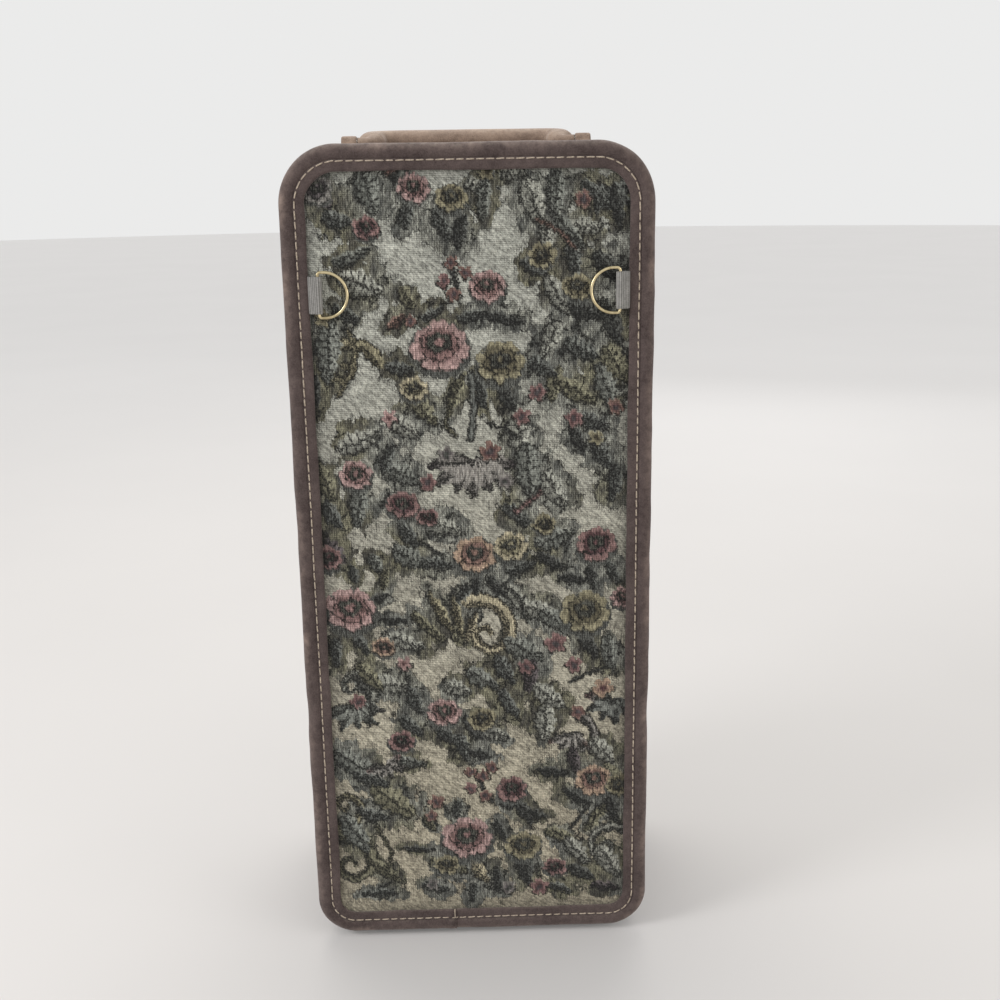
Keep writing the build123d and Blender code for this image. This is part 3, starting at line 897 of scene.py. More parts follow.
def drawFloret(cloth, u, v, radius, tones, petals, turn):
    light, middle, dark = (dyes[name] for name in flowerDyes[tones])
    part = nearPart(cloth, u, v, radius * 1.3)
    du, dv = cloth["u"][part] - u, cloth["v"][part] - v
    r, angle = np.hypot(du, dv) / radius, np.arctan2(dv, du)
    edge = 0.55 + 0.45 * np.abs(np.cos(petals * (angle - turn) / 2)) ** 0.8
    away = (r - edge) * radius
    shade = between(middle, light, soft(0.35, 0.9, r / edge)[:, None])
    layDye(cloth, part, soft(0.25, -0.25, away), shade, 0.3)
    layDye(cloth, part, soft(0.40, 0.26, r), dark * 0.7, 0.4)
    edgeLine = (np.abs(away) < 1.2) & (dv > -0.3 * radius)
    drawLine(cloth, part[edgeLine], away[edgeLine] - 0.2, 0.8)


scrollSet = {"turns": 1.35, "growth": 0.26}


def drawScroll(cloth, u, v, size, turn, hand, tone):
    growth = scrollSet["growth"]
    part = nearPart(cloth, u, v, size * 1.15)
    du, dv = (cloth["u"][part] - u) * hand, cloth["v"][part] - v
    r = np.maximum(np.hypot(du, dv), 0.3)
    angle = np.arctan2(dv, du) - math.radians(turn)
    spent = np.log(size / r) / growth
    wanted = angle + np.round((spent - angle) / (2 * math.pi)) * 2 * math.pi
    gap = (spent - wanted) * r * growth
    width = 0.05 * size + 0.16 * r
    inScroll = (wanted > -0.3) & (wanted < scrollSet["turns"] * 2 * math.pi)
    away = np.where(inScroll, np.abs(gap) - width, 3.0)
    shade = between(dyes[tone] * 1.25, dyes[tone] * 0.6, soft(-1, 1, gap / width)[:, None])
    layDye(cloth, part, soft(0.3, -0.3, away), shade, 0.45)
    outer = inScroll & (np.abs(away) < 1.5)
    drawLine(cloth, part[outer], away[outer], 0.95)
    ribs = inScroll & (away < -0.4)
    drawLine(cloth, part[ribs], np.abs(gap[ribs] - 0.35 * width[ribs]), 0.8)


def drawStem(cloth, points, width, tone):
    points = [np.array(p, float) for p in points]
    middle = sum(points) / len(points)
    reach = max(np.linalg.norm(p - middle) for p in points) + 4
    part = nearPart(cloth, middle[0], middle[1], reach)
    place = np.stack([cloth["u"][part], cloth["v"][part]], 1)
    best = np.full(len(part), 9.0)
    for start, end in zip(points, points[1:]):
        run = end - start
        share = np.clip(((place - start) @ run) / (run @ run), 0, 1)
        best = np.minimum(best, np.linalg.norm(place - start - share[:, None] * run, axis=1))
    layDye(cloth, part, soft(width / 2 + 0.3, width / 2 - 0.3, best), dyes[tone], 0.3)
    rim = np.abs(best - width / 2) < 1.2
    drawLine(cloth, part[rim], best[rim] - width / 2, 0.9)


def drawFan(cloth, u, v, radius, tone, petals, spread, turn, tip):
    for count in range(petals):
        share = count / (petals - 1) - 0.5
        order = abs(share) * 2
        angle = turn + share * spread
        length = radius * (1.0 - 0.18 * (1 - order) + 0.1 * (count % 2))
        du, dv = math.cos(math.radians(angle)) * 0.5, math.sin(math.radians(angle)) * 0.42
        drawLeaf(
            cloth, u + du * length, v + dv * length, length, radius * 0.42, angle,
            tone, 1.0, 0.85, 1.1, tip if order > 0.8 else None,
        )


print("cloth tools ready")


# Places in millimetres from the panel's upper left: across, down
leafRows = [
    # across, down, length, width, angle, tone, lobes
    (22, 24, 22, 15, 60, "plum", 3), (30, 37, 20, 14, 15, "slate", 3), (46, 24, 24, 16, 75, "grey", 4),
    (64, 36, 17, 11, 100, "slate", 3), (60, 17, 12, 8, 20, "char", 2), (82, 40, 22, 13, 70, "slate", 4),
    (91, 44, 22, 12, 100, "char", 4), (100, 22, 14, 9, 30, "mist", 2), (103, 28, 22, 10, 95, "grey", 3),
    (128, 30, 28, 15, 70, "mist", 4), (139, 27, 26, 12, 95, "grey", 4), (118, 16, 14, 9, 0, "mist", 2),
    (160, 27, 26, 15, 40, "slate", 4), (170, 33, 26, 12, 80, "char", 4), (154, 42, 18, 12, 10, "mist", 3),
    (146, 44, 24, 9, 50, "grey", 3), (36, 55, 22, 8, -20, "grey", 2), (128, 62, 18, 11, 30, "slate", 3),
    (148, 58, 24, 14, 80, "slate", 4), (134, 48, 16, 10, 100, "mist", 3), (165, 62, 24, 16, 50, "char", 4),
    (40, 69, 26, 17, 20, "mist", 4), (63, 76, 14, 9, 60, "moss", 3), (32, 84, 18, 12, 30, "slate", 3),
    (57, 88, 14, 9, -40, "rust", 2), (140, 76, 24, 13, 60, "mist", 3), (154, 84, 24, 15, 20, "char", 4),
    (168, 92, 26, 16, 70, "char", 4), (96, 86, 20, 9, -10, "slate", 3), (112, 87, 26, 10, 12, "char", 4),
    (76, 84, 16, 9, -30, "slate", 3), (136, 98, 22, 13, 120, "mist", 3), (152, 104, 26, 15, 30, "slate", 4),
    (170, 112, 24, 16, 60, "moss", 4), (22, 103, 34, 17, 95, "grey", 5), (14, 124, 24, 10, 90, "char", 4),
    (58, 112, 20, 12, 10, "slate", 3), (70, 134, 22, 12, 55, "moss", 3), (60, 143, 20, 13, 40, "mist", 3),
    (132, 113, 22, 14, 30, "slate", 3), (113, 128, 22, 12, 60, "char", 4), (138, 122, 20, 12, 100, "moss", 3),
    (100, 124, 24, 10, 80, "slate", 4), (86, 128, 24, 8, 110, "moss", 3), (150, 126, 24, 13, 30, "moss", 3),
    (165, 124, 26, 14, 70, "grey", 4), (158, 142, 24, 14, 20, "slate", 4), (150, 150, 20, 11, 60, "char", 3),
    (36, 150, 26, 14, -20, "mist", 3), (50, 160, 20, 10, 110, "slate", 3), (58, 168, 22, 14, 30, "grey", 4),
    (120, 150, 26, 16, 80, "mist", 3), (124, 168, 32, 18, 85, "grey", 5), (138, 178, 24, 15, 60, "mist", 3),
    (163, 160, 22, 14, 60, "slate", 4), (170, 176, 24, 13, 100, "slate", 4), (17, 172, 22, 12, 70, "moss", 3),
    (34, 186, 24, 13, 100, "grey", 4), (20, 190, 22, 14, 60, "slate", 3), (50, 182, 14, 8, 150, "char", 3),
    (78, 197, 26, 13, 20, "mist", 4), (60, 202, 20, 12, 60, "slate", 3), (118, 192, 24, 13, 40, "slate", 4),
    (138, 205, 24, 14, -20, "grey", 4), (20, 210, 22, 13, 50, "plum", 3), (60, 214, 22, 15, 30, "grey", 4),
    (75, 218, 24, 12, 10, "slate", 4), (42, 217, 13, 9, 60, "grey", 3), (30, 223, 13, 9, 80, "slate", 3),
    (46, 226, 13, 7, 100, "moss", 3), (136, 218, 22, 12, 30, "char", 4), (120, 221, 22, 10, -20, "slate", 3),
    (96, 228, 22, 10, 100, "char", 4), (106, 231, 18, 9, 50, "char", 3), (88, 236, 18, 10, 130, "slate", 3),
    (148, 228, 20, 9, 10, "char", 4), (158, 228, 18, 10, 80, "char", 4), (170, 226, 20, 10, 60, "slate", 3),
    (41, 237, 18, 7, -20, "char", 3), (49, 249, 22, 6, 4, "char", 2), (118, 240, 26, 11, 55, "mist", 3),
    (130, 246, 24, 13, 20, "mist", 3), (138, 252, 22, 12, 40, "grey", 3), (32, 262, 20, 10, 60, "slate", 3),
    (18, 268, 22, 10, 90, "slate", 3), (56, 262, 24, 12, 20, "mist", 3), (120, 268, 26, 14, 30, "grey", 4),
    (156, 266, 24, 13, 60, "char", 4), (168, 272, 24, 12, 80, "grey", 4), (110, 280, 24, 14, 60, "slate", 4),
    (124, 284, 24, 14, 100, "plum", 4), (98, 285, 22, 13, 30, "grey", 3), (46, 287, 26, 14, 10, "mist", 4),
    (60, 296, 24, 12, 70, "slate", 4), (36, 282, 22, 12, 50, "moss", 3), (84, 290, 18, 12, 20, "mist", 3),
    (112, 300, 24, 13, 60, "slate", 4), (134, 296, 24, 14, 40, "mist", 4), (132, 312, 24, 15, 90, "mist", 4),
    (58, 312, 20, 12, 50, "slate", 4), (92, 314, 22, 12, 60, "char", 4), (78, 318, 22, 12, 40, "slate", 4),
    (104, 318, 16, 10, 20, "mist", 3), (86, 326, 22, 13, 70, "slate", 4), (96, 330, 18, 9, 20, "char", 3),
    (56, 334, 18, 9, 10, "grey", 3), (26, 334, 30, 16, 30, "grey", 4), (34, 344, 26, 12, 20, "slate", 4),
    (136, 342, 22, 10, 10, "char", 4), (148, 336, 22, 11, 80, "plum", 4), (164, 330, 22, 13, 50, "mist", 3),
    (170, 346, 20, 12, 60, "moss", 3), (46, 358, 32, 20, 40, "moss", 4), (34, 366, 24, 13, 20, "slate", 4),
    (150, 358, 22, 12, 30, "char", 4), (170, 366, 22, 13, 75, "char", 4), (160, 372, 22, 9, 130, "moss", 3),
    (82, 364, 14, 10, 100, "slate", 3), (120, 367, 22, 12, 60, "char", 4), (112, 362, 16, 8, 20, "slate", 3),
    (128, 369, 14, 8, 20, "char", 3), (60, 388, 22, 6, 4, "char", 3), (66, 372, 13, 6, 60, "moss", 2),
    (106, 378, 18, 10, 70, "char", 3), (140, 382, 20, 10, 20, "moss", 3), (150, 392, 22, 12, 50, "mist", 3),
    (24, 378, 28, 16, 60, "grey", 5), (40, 402, 24, 9, 40, "moss", 3), (76, 400, 24, 13, 20, "moss", 3),
    (94, 404, 22, 12, 60, "cream", 3), (104, 410, 22, 10, 85, "char", 4), (120, 404, 24, 15, 75, "char", 5),
    (68, 413, 20, 10, 20, "slate", 3), (152, 406, 22, 12, 30, "char", 3), (168, 400, 26, 15, 60, "mist", 4),
    (140, 416, 18, 10, 20, "slate", 3), (166, 416, 22, 10, 10, "plum", 3), (36, 416, 26, 8, 0, "slate", 3),
    (90, 418, 16, 9, 100, "slate", 3), (76, 246, 34, 9, 62, "olive", 4), (85, 249, 30, 8, 78, "olive", 3),
    (69, 254, 26, 8, 45, "moss", 3), (92, 254, 22, 7, 110, "cream", 3),
]
scrollRows = [
    # across, down, size, turn, hand, tone
    (100, 259, 21, 250, 1, "cream"), (30, 112, 17, 200, -1, "olive"), (168, 118, 16, 300, 1, "mist"),
    (20, 398, 19, 260, 1, "moss"), (19, 360, 13, 80, -1, "olive"), (166, 390, 14, 230, -1, "mist"),
    (26, 288, 15, 100, -1, "mist"), (150, 322, 13, 280, 1, "mauve"),
]
stemRows = [
    # width, tone, points
    (3.4, "slate", ((95, 116), (96, 132), (94, 150))),
    (1.6, "char", ((104, 142), (112, 145), (118, 150))),
    (1.8, "moss", ((86, 148), (80, 142), (84, 134))), (1.4, "char", ((110, 230), (118, 238), (122, 250))),
    (1.6, "char", ((146, 288), (156, 283), (166, 280))), (1.4, "char", ((62, 206), (68, 207), (78, 214))),
    (2.4, "olive", ((33, 92), (36, 104), (33, 116), (26, 126))),
    (1.4, "char", ((30, 288), (36, 298), (34, 312))),
    (1.8, "moss", ((36, 374), (44, 390), (40, 404))), (1.4, "char", ((86, 60), (88, 68), (90, 76))),
    (1.4, "char", ((94, 346), (97, 352), (102, 360))), (2.0, "rust", ((130, 39), (140, 44), (148, 52))),
    (2.6, "rose", ((117, 190), (123, 186), (130, 179))), (1.4, "char", ((158, 362), (150, 372), (146, 378))),
]
fanRows = [
    # across, down, radius, tone, petals, spread, turn, tip
    (95, 162, 24, "mauve", 7, 168, 90, "plum"), (170, 300, 17, "slate", 5, 150, 120, "rose"),
    (26, 300, 18, "grey", 5, 150, 80, "mauve"), (166, 24, 15, "slate", 5, 170, 80, "plum"),
    (42, 336, 12, "mauve", 5, 200, 60, "pink"), (146, 320, 13, "mauve", 4, 120, 100, "rust"),
]
roseRows = [
    # across, down, radius, tones, turn
    (68, 22, 8.5, "pink", 0.3), (87, 27, 8.5, "olive", 0.9), (44, 41, 7.0, "rose", 0.1),
    (104, 71, 9.5, "pink", 0.5), (79, 101, 15.5, "pink", 0.2), (110, 110, 13.0, "olive", 0.8),
    (65, 123, 7.5, "cream", 0.2), (33, 168, 9.0, "pink", 0.6), (57, 185, 9.0, "rose", 0.2),
    (70, 192, 6.0, "rose", 0.5), (95, 213, 11.5, "peach", 0.4), (114, 209, 9.5, "cream", 0.1),
    (132, 197, 6.5, "olive", 0.4), (160, 209, 11.0, "rose", 0.3), (27, 243, 14.5, "pink", 0.7),
    (154, 247, 14.0, "olive", 0.2), (76, 304, 9.5, "pink", 0.1), (97, 309, 8.0, "olive", 0.4),
    (52, 321, 7.5, "rose", 0.5), (159, 348, 11.0, "peach", 0.2), (113, 352, 9.0, "rose", 0.6),
    (87, 382, 15.0, "pink", 0.9), (119, 388, 10.5, "olive", 0.3), (137, 402, 7.0, "rose", 0.2),
    (20, 22, 8.0, "mauve", 0.3), (132, 56, 7.5, "olive", 0.6), (150, 72, 8.0, "olive", 0.1),
    (44, 265, 6.5, "peach", 0.3), (16, 214, 8.0, "rose", 0.2), (175, 240, 7.0, "pink", 0.5),
    (75, 399, 7.5, "olive", 0.2), (174, 352, 8.0, "olive", 0.4),
]
floretRows = [
    # across, down, radius, tones
    (86, 59, 4.0, "rust"), (93, 64, 3.8, "rust"), (82, 68, 4.0, "rose"), (87, 75, 4.2, "rust"),
    (129, 126, 5.2, "rose"), (52, 138, 4.6, "pink"), (121, 139, 5.2, "rose"), (148, 140, 5.0, "rose"),
    (81, 158, 5.6, "mauve"), (104, 157, 5.8, "rust"), (71, 173, 5.0, "rose"), (112, 173, 5.0, "mauve"),
    (160, 151, 4.6, "olive"), (138, 265, 6.4, "rose"), (148, 278, 5.0, "rose"), (55, 275, 4.6, "pink"),
    (122, 279, 5.0, "rose"), (164, 292, 6.5, "peach"), (29, 297, 4.5, "rose"), (90, 341, 3.6, "rust"),
    (97, 344, 4.0, "rust"), (102, 339, 3.8, "rust"), (90, 351, 3.8, "rose"), (98, 356, 3.8, "rust"),
    (70, 359, 4.8, "rust"), (67, 368, 4.0, "rust"), (128, 415, 6.0, "rose"), (110, 415, 4.6, "mauve"),
    (105, 14, 4.8, "olive"), (153, 29, 4.8, "rust"), (66, 412, 4.4, "mauve"), (20, 86, 4.8, "olive"),
    (56, 12, 4.0, "rust"), (170, 135, 4.6, "rust"), (150, 306, 4.4, "rust"), (64, 88, 3.4, "rust"),
]

panelSet = {
    "columns": 231,
    "rows": 396,
    "inset": 11.6,        # the cloth's edge, under the flange
    "crown": 1.75,        # how far the padded middle stands up
    "edgeFade": 14.0,     # width of the crown's slope in the quick version
    "soil": 0.62,         # painted shade: the cloth darkens towards the rim, where the roll shades it
    "repeat": (160.0, 408.0),
    "pressGrid": (28, 62),
    "pressSteps": 20,
    "pressure": 4.0,
    "heldBack": 0.5,
    "quilt": 0.30,        # soft unevenness of the foam
    "pucker": 0.60,       # relief of the pale ground
    "weave": 0.12,        # how far motifs stand over the ground
    "under": 2.6,         # the cloth's edge, behind the rim's front
    "deep": 2.4,          # depth of the piece at its edge
}
foliageSet = {"long": 0.62, "wide": 0.78, "ragged": 0.95}
paleLeaves = ("mist", "grey", "moss")


def paintCloth(u, v, shift):
    # with no shift the rows are painted once, and else they repeat over the panel
    cloth = startCloth(u, v)
    places = [(0, 0)]
    if shift != (0, 0):
        wide, tall = panelSet["repeat"]
        places = [(shift[0] + i * wide, shift[1] + j * tall) for i in (-1, 0, 1) for j in (-1, 0)]

    def spread(rows):
        made = [(row[0] + du, row[1] + dv, *row[2:]) for du, dv in places for row in rows]
        return [row for row in made if -10 < row[0] < 200 and -10 < row[1] < 450]

    leaves = spread(leafRows)
    layFoliage(cloth, leaves, foliageSet)
    for row in spread(scrollRows):
        drawScroll(cloth, *row)
    for a, b, length, width, angle, tone, lobes in leaves:
        if tone in paleLeaves:
            drawLeaf(cloth, a, b, length, width * 0.85, angle, tone, lobes + 1, 0.50, 0.85)
    for row in spread(fanRows):
        drawFan(cloth, *row)
    for a, b, length, width, angle, tone, lobes in leaves:
        if tone not in paleLeaves:
            drawLeaf(cloth, a, b, length * 0.85, width * 0.68, angle, tone, lobes + 1, 0.8, 1.0)
    for du, dv in places:
        for width, tone, points in stemRows:
            drawStem(cloth, [(p[0] + du, p[1] + dv) for p in points], width, tone)
    for row in spread(roseRows):
        drawRose(cloth, *row)
    for a, b, radius, tones in spread(floretRows):
        drawFloret(cloth, a, b, radius, tones, 5, a * 0.37)
    return cloth


def pressCloth(x, z, values):
    # a cloth pinned along its edge is pressed outwards by the foam
    rows, columns = x.shape
    points = np.stack([x, 0 * x, z], -1).reshape(-1, 3) * mm
    cloth = makeObject("pressedCloth", points, gridFaces(rows, columns), tapestryCloth, turnFaces=False)
    pins = cloth.vertex_groups.new(name="pins")
    pins.add(sorted(gridEdge(rows, columns)), 1.0, "REPLACE")
    press = cloth.modifiers.new("press", "CLOTH")
    press.settings.vertex_group_mass = "pins"
    press.settings.quality = 5
    press.settings.use_pressure = True
    press.settings.uniform_pressure_force = values["pressure"]
    press.settings.effector_weights.gravity = 0
    press.point_cache.frame_start = 1
    press.point_cache.frame_end = values["pressSteps"]
    scene = bpy.context.scene
    for count in range(1, values["pressSteps"] + 1):
        scene.frame_set(count)
    pressed = cloth.evaluated_get(bpy.context.evaluated_depsgraph_get())
    places = np.zeros(len(points) * 3)
    pressed.data.vertices.foreach_get("co", places)
    rise = np.abs(places.reshape(-1, 3)[:, 1]).reshape(rows, columns)
    scene.frame_set(1)
    bpy.data.objects.remove(cloth)
    print("cloth pressed, rise in millimetres", round(float(rise.max()) / mm, 2))
    # the board behind and the stitching hold it back
    rise = np.clip(rise / (values["heldBack"] * rise.max()), 0, 1)
    return rise * (2 - rise)


def makePanel(name, side, body, node, shift):
    form, values = caseForm, panelSet
    rows, columns, inset = values["rows"], values["columns"], values["inset"]
    half = form["width"] / 2 - inset
    low, high = form["floorGap"] + inset, form["floorGap"] + form["height"] - inset
    top, bottom = form["topRadius"] - inset, form["bottomRadius"] - inset

    def grid(z, columns):
        reach = np.full(len(z), half)
        for radius, rise in ((top, z - (high - top)), (bottom, (low + bottom) - z)):
            rise = np.clip(rise, 0, radius)
            reach = np.minimum(reach, half - radius + np.sqrt(np.maximum(radius ** 2 - rise ** 2, 0)))
        x = np.linspace(-1, 1, columns)[None, :] * reach[:, None]
        return x, np.repeat(z[:, None], columns, 1)

    x, z = grid(np.linspace(high, low, rows), columns)
    u = (side * x + form["width"] / 2).ravel()
    v = (form["floorGap"] + form["height"] - z).ravel()
    cloth = paintCloth(u, v, shift)
    edge = np.minimum(half - np.abs(x), np.minimum(high - z, z - low))
    wide, tall = values["pressGrid"]
    rise = pressCloth(*grid(np.linspace(high, low, tall), wide), values)
    across, down = np.linspace(0, wide - 1, columns), np.linspace(0, tall - 1, rows)
    rise = np.stack([np.interp(across, range(wide), row) for row in rise])
    rise = np.stack([np.interp(down, range(tall), column) for column in rise.T], 1)
    swell = rise * values["crown"]
    uneven = (valueNoise(x / 34, z / 38, 21) - 0.5) * 2 * values["quilt"] * soft(4, 24, edge)
    weave = cloth["ground"].reshape(x.shape)
    slanted, crossed = x * 0.79 + z * 0.61, z * 0.79 - x * 0.61
    dimple = valueNoise(slanted / 5.5 + 90, crossed / 2.3 + 90, 22) - 0.5
    stroke = valueNoise(x / 1.8 + 90, z / 5.0, 30) - 0.5
    relief = values["pucker"] * (dimple * weave + 0.45 * stroke * (1 - weave))
    relief = relief + values["weave"] * (1 - weave)
    coverFront = form["frontY"] + values["under"]
    y = (coverFront - swell - uneven - relief * soft(1.5, 4, edge)) * side
    points = np.stack([x, y, z], -1).reshape(-1, 3) * mm
    # a plain back closes the piece
    ring = gridEdge(rows, columns)
    behind = points[ring].copy()
    behind[:, 1] = side * (coverFront + values["deep"]) * mm
    start, count = len(points), len(ring)
    after = [*range(1, count), 0]
    faces = gridFaces(rows, columns)
    faces += [(ring[k], ring[after[k]], start + after[k], start + k) for k in range(count)]
    faces += [(start + k, start + after[k], start + count) for k in range(count)]
    points = np.concatenate([points, behind, [behind.mean(0)]])
    made = makeObject(name, points, faces, tapestryCloth)
    dye = np.full((len(points), 4), 0.3)
    dye[:start, :3] = cloth["dye"]
    # painted shade: the alpha darkens the cloth near the rim, where the roll casts shade on it
    dye[:start, 3] = (values["soil"] + (1 - values["soil"]) * soft(1.5, 13, edge)).ravel()
    addLayer(made.data, "dye", dye, "FLOAT_COLOR", "color")
    marks = np.zeros((len(points), 3))
    marks[:, 0] = 1
    painted = np.stack([cloth["line"] / fullLine, cloth["hatch"], cloth["ground"]], 1)
    marks[:start] = np.clip(painted, 0, 1)
    addLayer(made.data, "marks", marks)
    finishPiece(made, body, "tapestry", node)


makePanel("frontTapestry", 1, "case", "front_panel_cover", (0, 0))
makePanel("backTapestry", -1, "lid", "back_panel_cover", (61.0, 148.0))
print("tapestry panels ready")


# Rolled suede rims
rimSet = {
    "step": 1.9,
    "roll": 4.5,          # radius of the roll
    "rollFrom": 52,       # degrees
    "rollTo": -215,
    "stitchInset": 8.6,
    "dent": 0.45,
    "dents": ((235, 0.9, 22), (330, 0.7, 16), (520, 0.5, 20), (905, 0.8, 24), (1010, 0.6, 18)),
    "lap": 1.3,           # how far the last end goes over the first
    "stitchDepth": 1.02,
    "stitchWander": 0.22,
    "crossing": (0.4, 0.66, 10.4),   # one stitch over the joint: sideways, deep, up
    "crossingLength": 1.6,
}


def rimProfile(values):
    # inset from the outer edge and depth behind the front face
    r = values["roll"]
    points = [
        (13.5, 2.35), (13.62, 1.9), (13.5, 1.35), (13.1, 1.0), (12.3, 0.86), (11.2, 0.84),
        (10.2, 0.90), (9.4, 1.02), (8.9, 1.14), (8.6, 1.20), (8.3, 1.16), (7.7, 0.98),
    ]
    start, end = math.radians(values["rollFrom"]), math.radians(values["rollTo"])
    for count in range(26):
        angle = start + (end - start) * count / 25
        points.append((r + r * math.sin(angle), r - r * math.cos(angle)))
    points += [(8.3, 6.0), (9.0, 4.0), (9.6, 2.5), (11.5, 2.4)]
    return np.array(points)


def makeRim(name, side, body, node, seed):
    values = rimSet
    path = casePath(values["step"], closed=False)
    profile = rimProfile(values)
    along, insets, depths = spreadSection(path, profile)
    outer = soft(9.0, 5.0, insets)
    ripple = valueNoise(along / 26, seed, 31) - 0.5 + 0.5 * (valueNoise(along / 9, seed, 32) - 0.5)
    squeeze = ripple * values["dent"]
    for place, deep, wide in values["dents"]:
        squeeze = squeeze + deep * 0.5 * np.exp(-((along - place) / wide * 2) ** 2)
    insets = insets + outer * (squeeze + 0.25)
    depths = depths + outer * 0.35 * (valueNoise(along / 15, seed + 3, 33) - 0.3)
    inner = soft(11.0, 13.2, insets)
    insets = insets + inner * 0.55 * (valueNoise(along / 17, seed + 5, 34) - 0.5)
    skin = valueNoise(along / 2.6, profile[:, 1] / 2.2 + profile[:, 0] / 3, 35) - 0.5
    depths = depths + 0.10 * skin
    # the last end laps over the first
    last = along[-1, 0]
    lap = soft(last - 5.0, last - 2.0, along)
    depths = depths - 0.42 * lap * soft(14.5, 12.5, insets) * (depths < 4.6)
    depths = depths + 0.10 * soft(5.0, 1.5, along)
    insets = insets - 0.10 * lap * outer
    path["base"][-1, 0] += values["lap"]
    crest = np.exp(-((profile[:, 0] - 1.6) / 2.2) ** 2) * (profile[:, 1] < 5)
    rub = valueNoise(along / 21, seed + 9, 36) * valueNoise(along / 6.5, seed + 9, 37)
    wear = np.clip(crest[None, :] * (0.10 + 0.9 * rub), 0, 1)
    places = onPath(path, insets, (caseForm["frontY"] + depths) * side)
    rim = sweepPiece(name, places, rimSuede, False, layOf(path, profile, wear))
    finishPiece(rim, body, "suede", node)


makeRim("frontRim", 1, "case", "front_rim", 2.0)
makeRim("backRim", -1, "lid", "back_rim", 41.0)
print("rims ready")


# Walls, hinge strip, zip tapes
wallSet = {
    "step": 3.0,
    "inset": 5.0,
    "thickness": 1.2,
    "sag": 0.35,
    "bulge": 0.25,        # more on the straight sides
    "fold": 0.275,        # how far the turned edge stands out
    "underRim": 2.2,      # how far the wall runs on under the rim
    "stitchInset": 4.72,
    "stitchDepth": 2.3,   # from the edge along the zip
}


def slabProfile(outer, inner, near, far, rounding, cuts):
    # closed section between two insets and two depths, outer side first
    depths = np.linspace(near + rounding, far - rounding, cuts)
    middle, corner = (outer + inner) / 2, rounding * 0.3
    points = [(outer, d) for d in depths]
    points += [(outer + corner, far - corner), (middle, far), (inner - corner, far - corner)]
    points += [(inner, d) for d in depths[::-1]]
    points += [(inner - corner, near + corner), (middle, near), (outer + corner, near + corner)]
    return np.array(points)


def makeWall(name, near, far, body, node, edge, seed):
    values = wallSet
    path = casePath(values["step"])
    outer = values["inset"]
    profile = slabProfile(outer, outer + values["thickness"], near, far, 0.5, 15)
    along, insets, depths = spreadSection(path, profile)
    ring = 2 * math.pi * along / (path["along"][-1] + values["step"])
    wave = valueNoise(10 + 4.2 * np.cos(ring), 10 + 4.2 * np.sin(ring) + seed, 41) - 0.5
    wave = wave + 0.5 * (valueNoise(30 + 13 * np.cos(ring), 30 + 13 * np.sin(ring) + depths / 30, 42) - 0.5)
    middle = np.sin(np.clip((depths - near) / (far - near), 0, 1) * math.pi)
    onSides = path["outward"][:, :1] ** 2
    insets = insets + middle * (values["sag"] * wave + values["bulge"] * onSides)
    # a turned edge along the zip
    fromEdge = np.abs(depths - edge)
    insets = insets - values["fold"] * soft(4.4, 3.6, fromEdge) * (profile[:, 0] < 5.4)
    wear = np.clip(soft(3.0, 0.2, fromEdge) * 0.45 * valueNoise(along / 11, seed, 43), 0, 1)
    wall = sweepPiece(name, onPath(path, insets, depths), wallSuede, True, layOf(path, profile, wear))
    finishPiece(wall, body, "suede", node)


caseEdges = [corner.y for corner in boxOf("case_wall")]
lidEdges = [corner.y for corner in boxOf("lid_wall")]
underRim = wallSet["underRim"]
makeWall("caseWall", caseEdges[0] - underRim, caseEdges[1], "case", "case_wall", caseEdges[1], 3.0)
makeWall("lidWall", lidEdges[0], lidEdges[1] + underRim, "lid", "lid_wall", lidEdges[0], 17.0)
hingeSet = {
    "step": 3.0,
    "outer": 5.35,
    "inner": 6.2,
    "into": 1.6,          # how far it runs into the walls on either side
    "crease": 0.45,
    "bend": 5.0,          # half the width that folds
}


def makeHingeStrip(values):
    low, high = boxOf("hinge_strip")
    path = casePath(values["step"])
    path = pickPath(path, insetX(path, 5.6) < high.x)
    near, far = low.y - values["into"], high.y + values["into"]
    profile = slabProfile(values["outer"], values["inner"], near, far, 0.4, 17)
    along, insets, depths = spreadSection(path, profile)
    crease = np.cos(np.clip((depths - caseForm["splitY"]) / 5.3, -1, 1) * math.pi) * 0.5 + 0.5
    insets = insets + values["crease"] * crease + 0.2 * (valueNoise(along / 12, depths / 5, 44) - 0.5)
    wear = np.clip(crease * 0.5 * valueNoise(along / 14, 5, 45), 0, 1)
    lay = layOf(path, profile, wear)
    strip = sweepPiece("hingeStrip", onPath(path, insets, depths), wallSuede, False, lay)
    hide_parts("hinge_strip")
    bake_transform(strip)


makeHingeStrip(hingeSet)


tapeSet = {"step": 3.0, "outer": 6.42, "inner": 6.98, "rounding": 0.2}


def makeTape(name, node, body):
    values = tapeSet
    low, high = boxOf(node)
    path = casePath(values["step"])
    path = pickPath(path, insetX(path, 6.7) > low.x)
    profile = slabProfile(values["outer"], values["inner"], low.y, high.y, values["rounding"], 10)
    along, insets, depths = spreadSection(path, profile)
    tape = sweepPiece(name, onPath(path, insets, depths), tapeCloth, False, layOf(path, profile))
    finishPiece(tape, body, "zip_tape", node)


makeTape("caseZipTape", "case_zip_tape", "case")
makeTape("lidZipTape", "lid_zip_tape", "lid")
print("walls, hinge strip and tapes ready")


# Lining trays
liningSet = {
    "step": 3.0,
    "inset": 9.1,
    "thickness": 0.9,
    "corner": 4.0,        # radius where wall and floor meet
    "under": 4.0,         # how far the wall runs in under the floor
    "wrinkle": 0.35,
    "floorRows": 60,
    "floorBottom": 0.1,   # underside and top of the floor cloth
    "floorTop": 0.95,
}


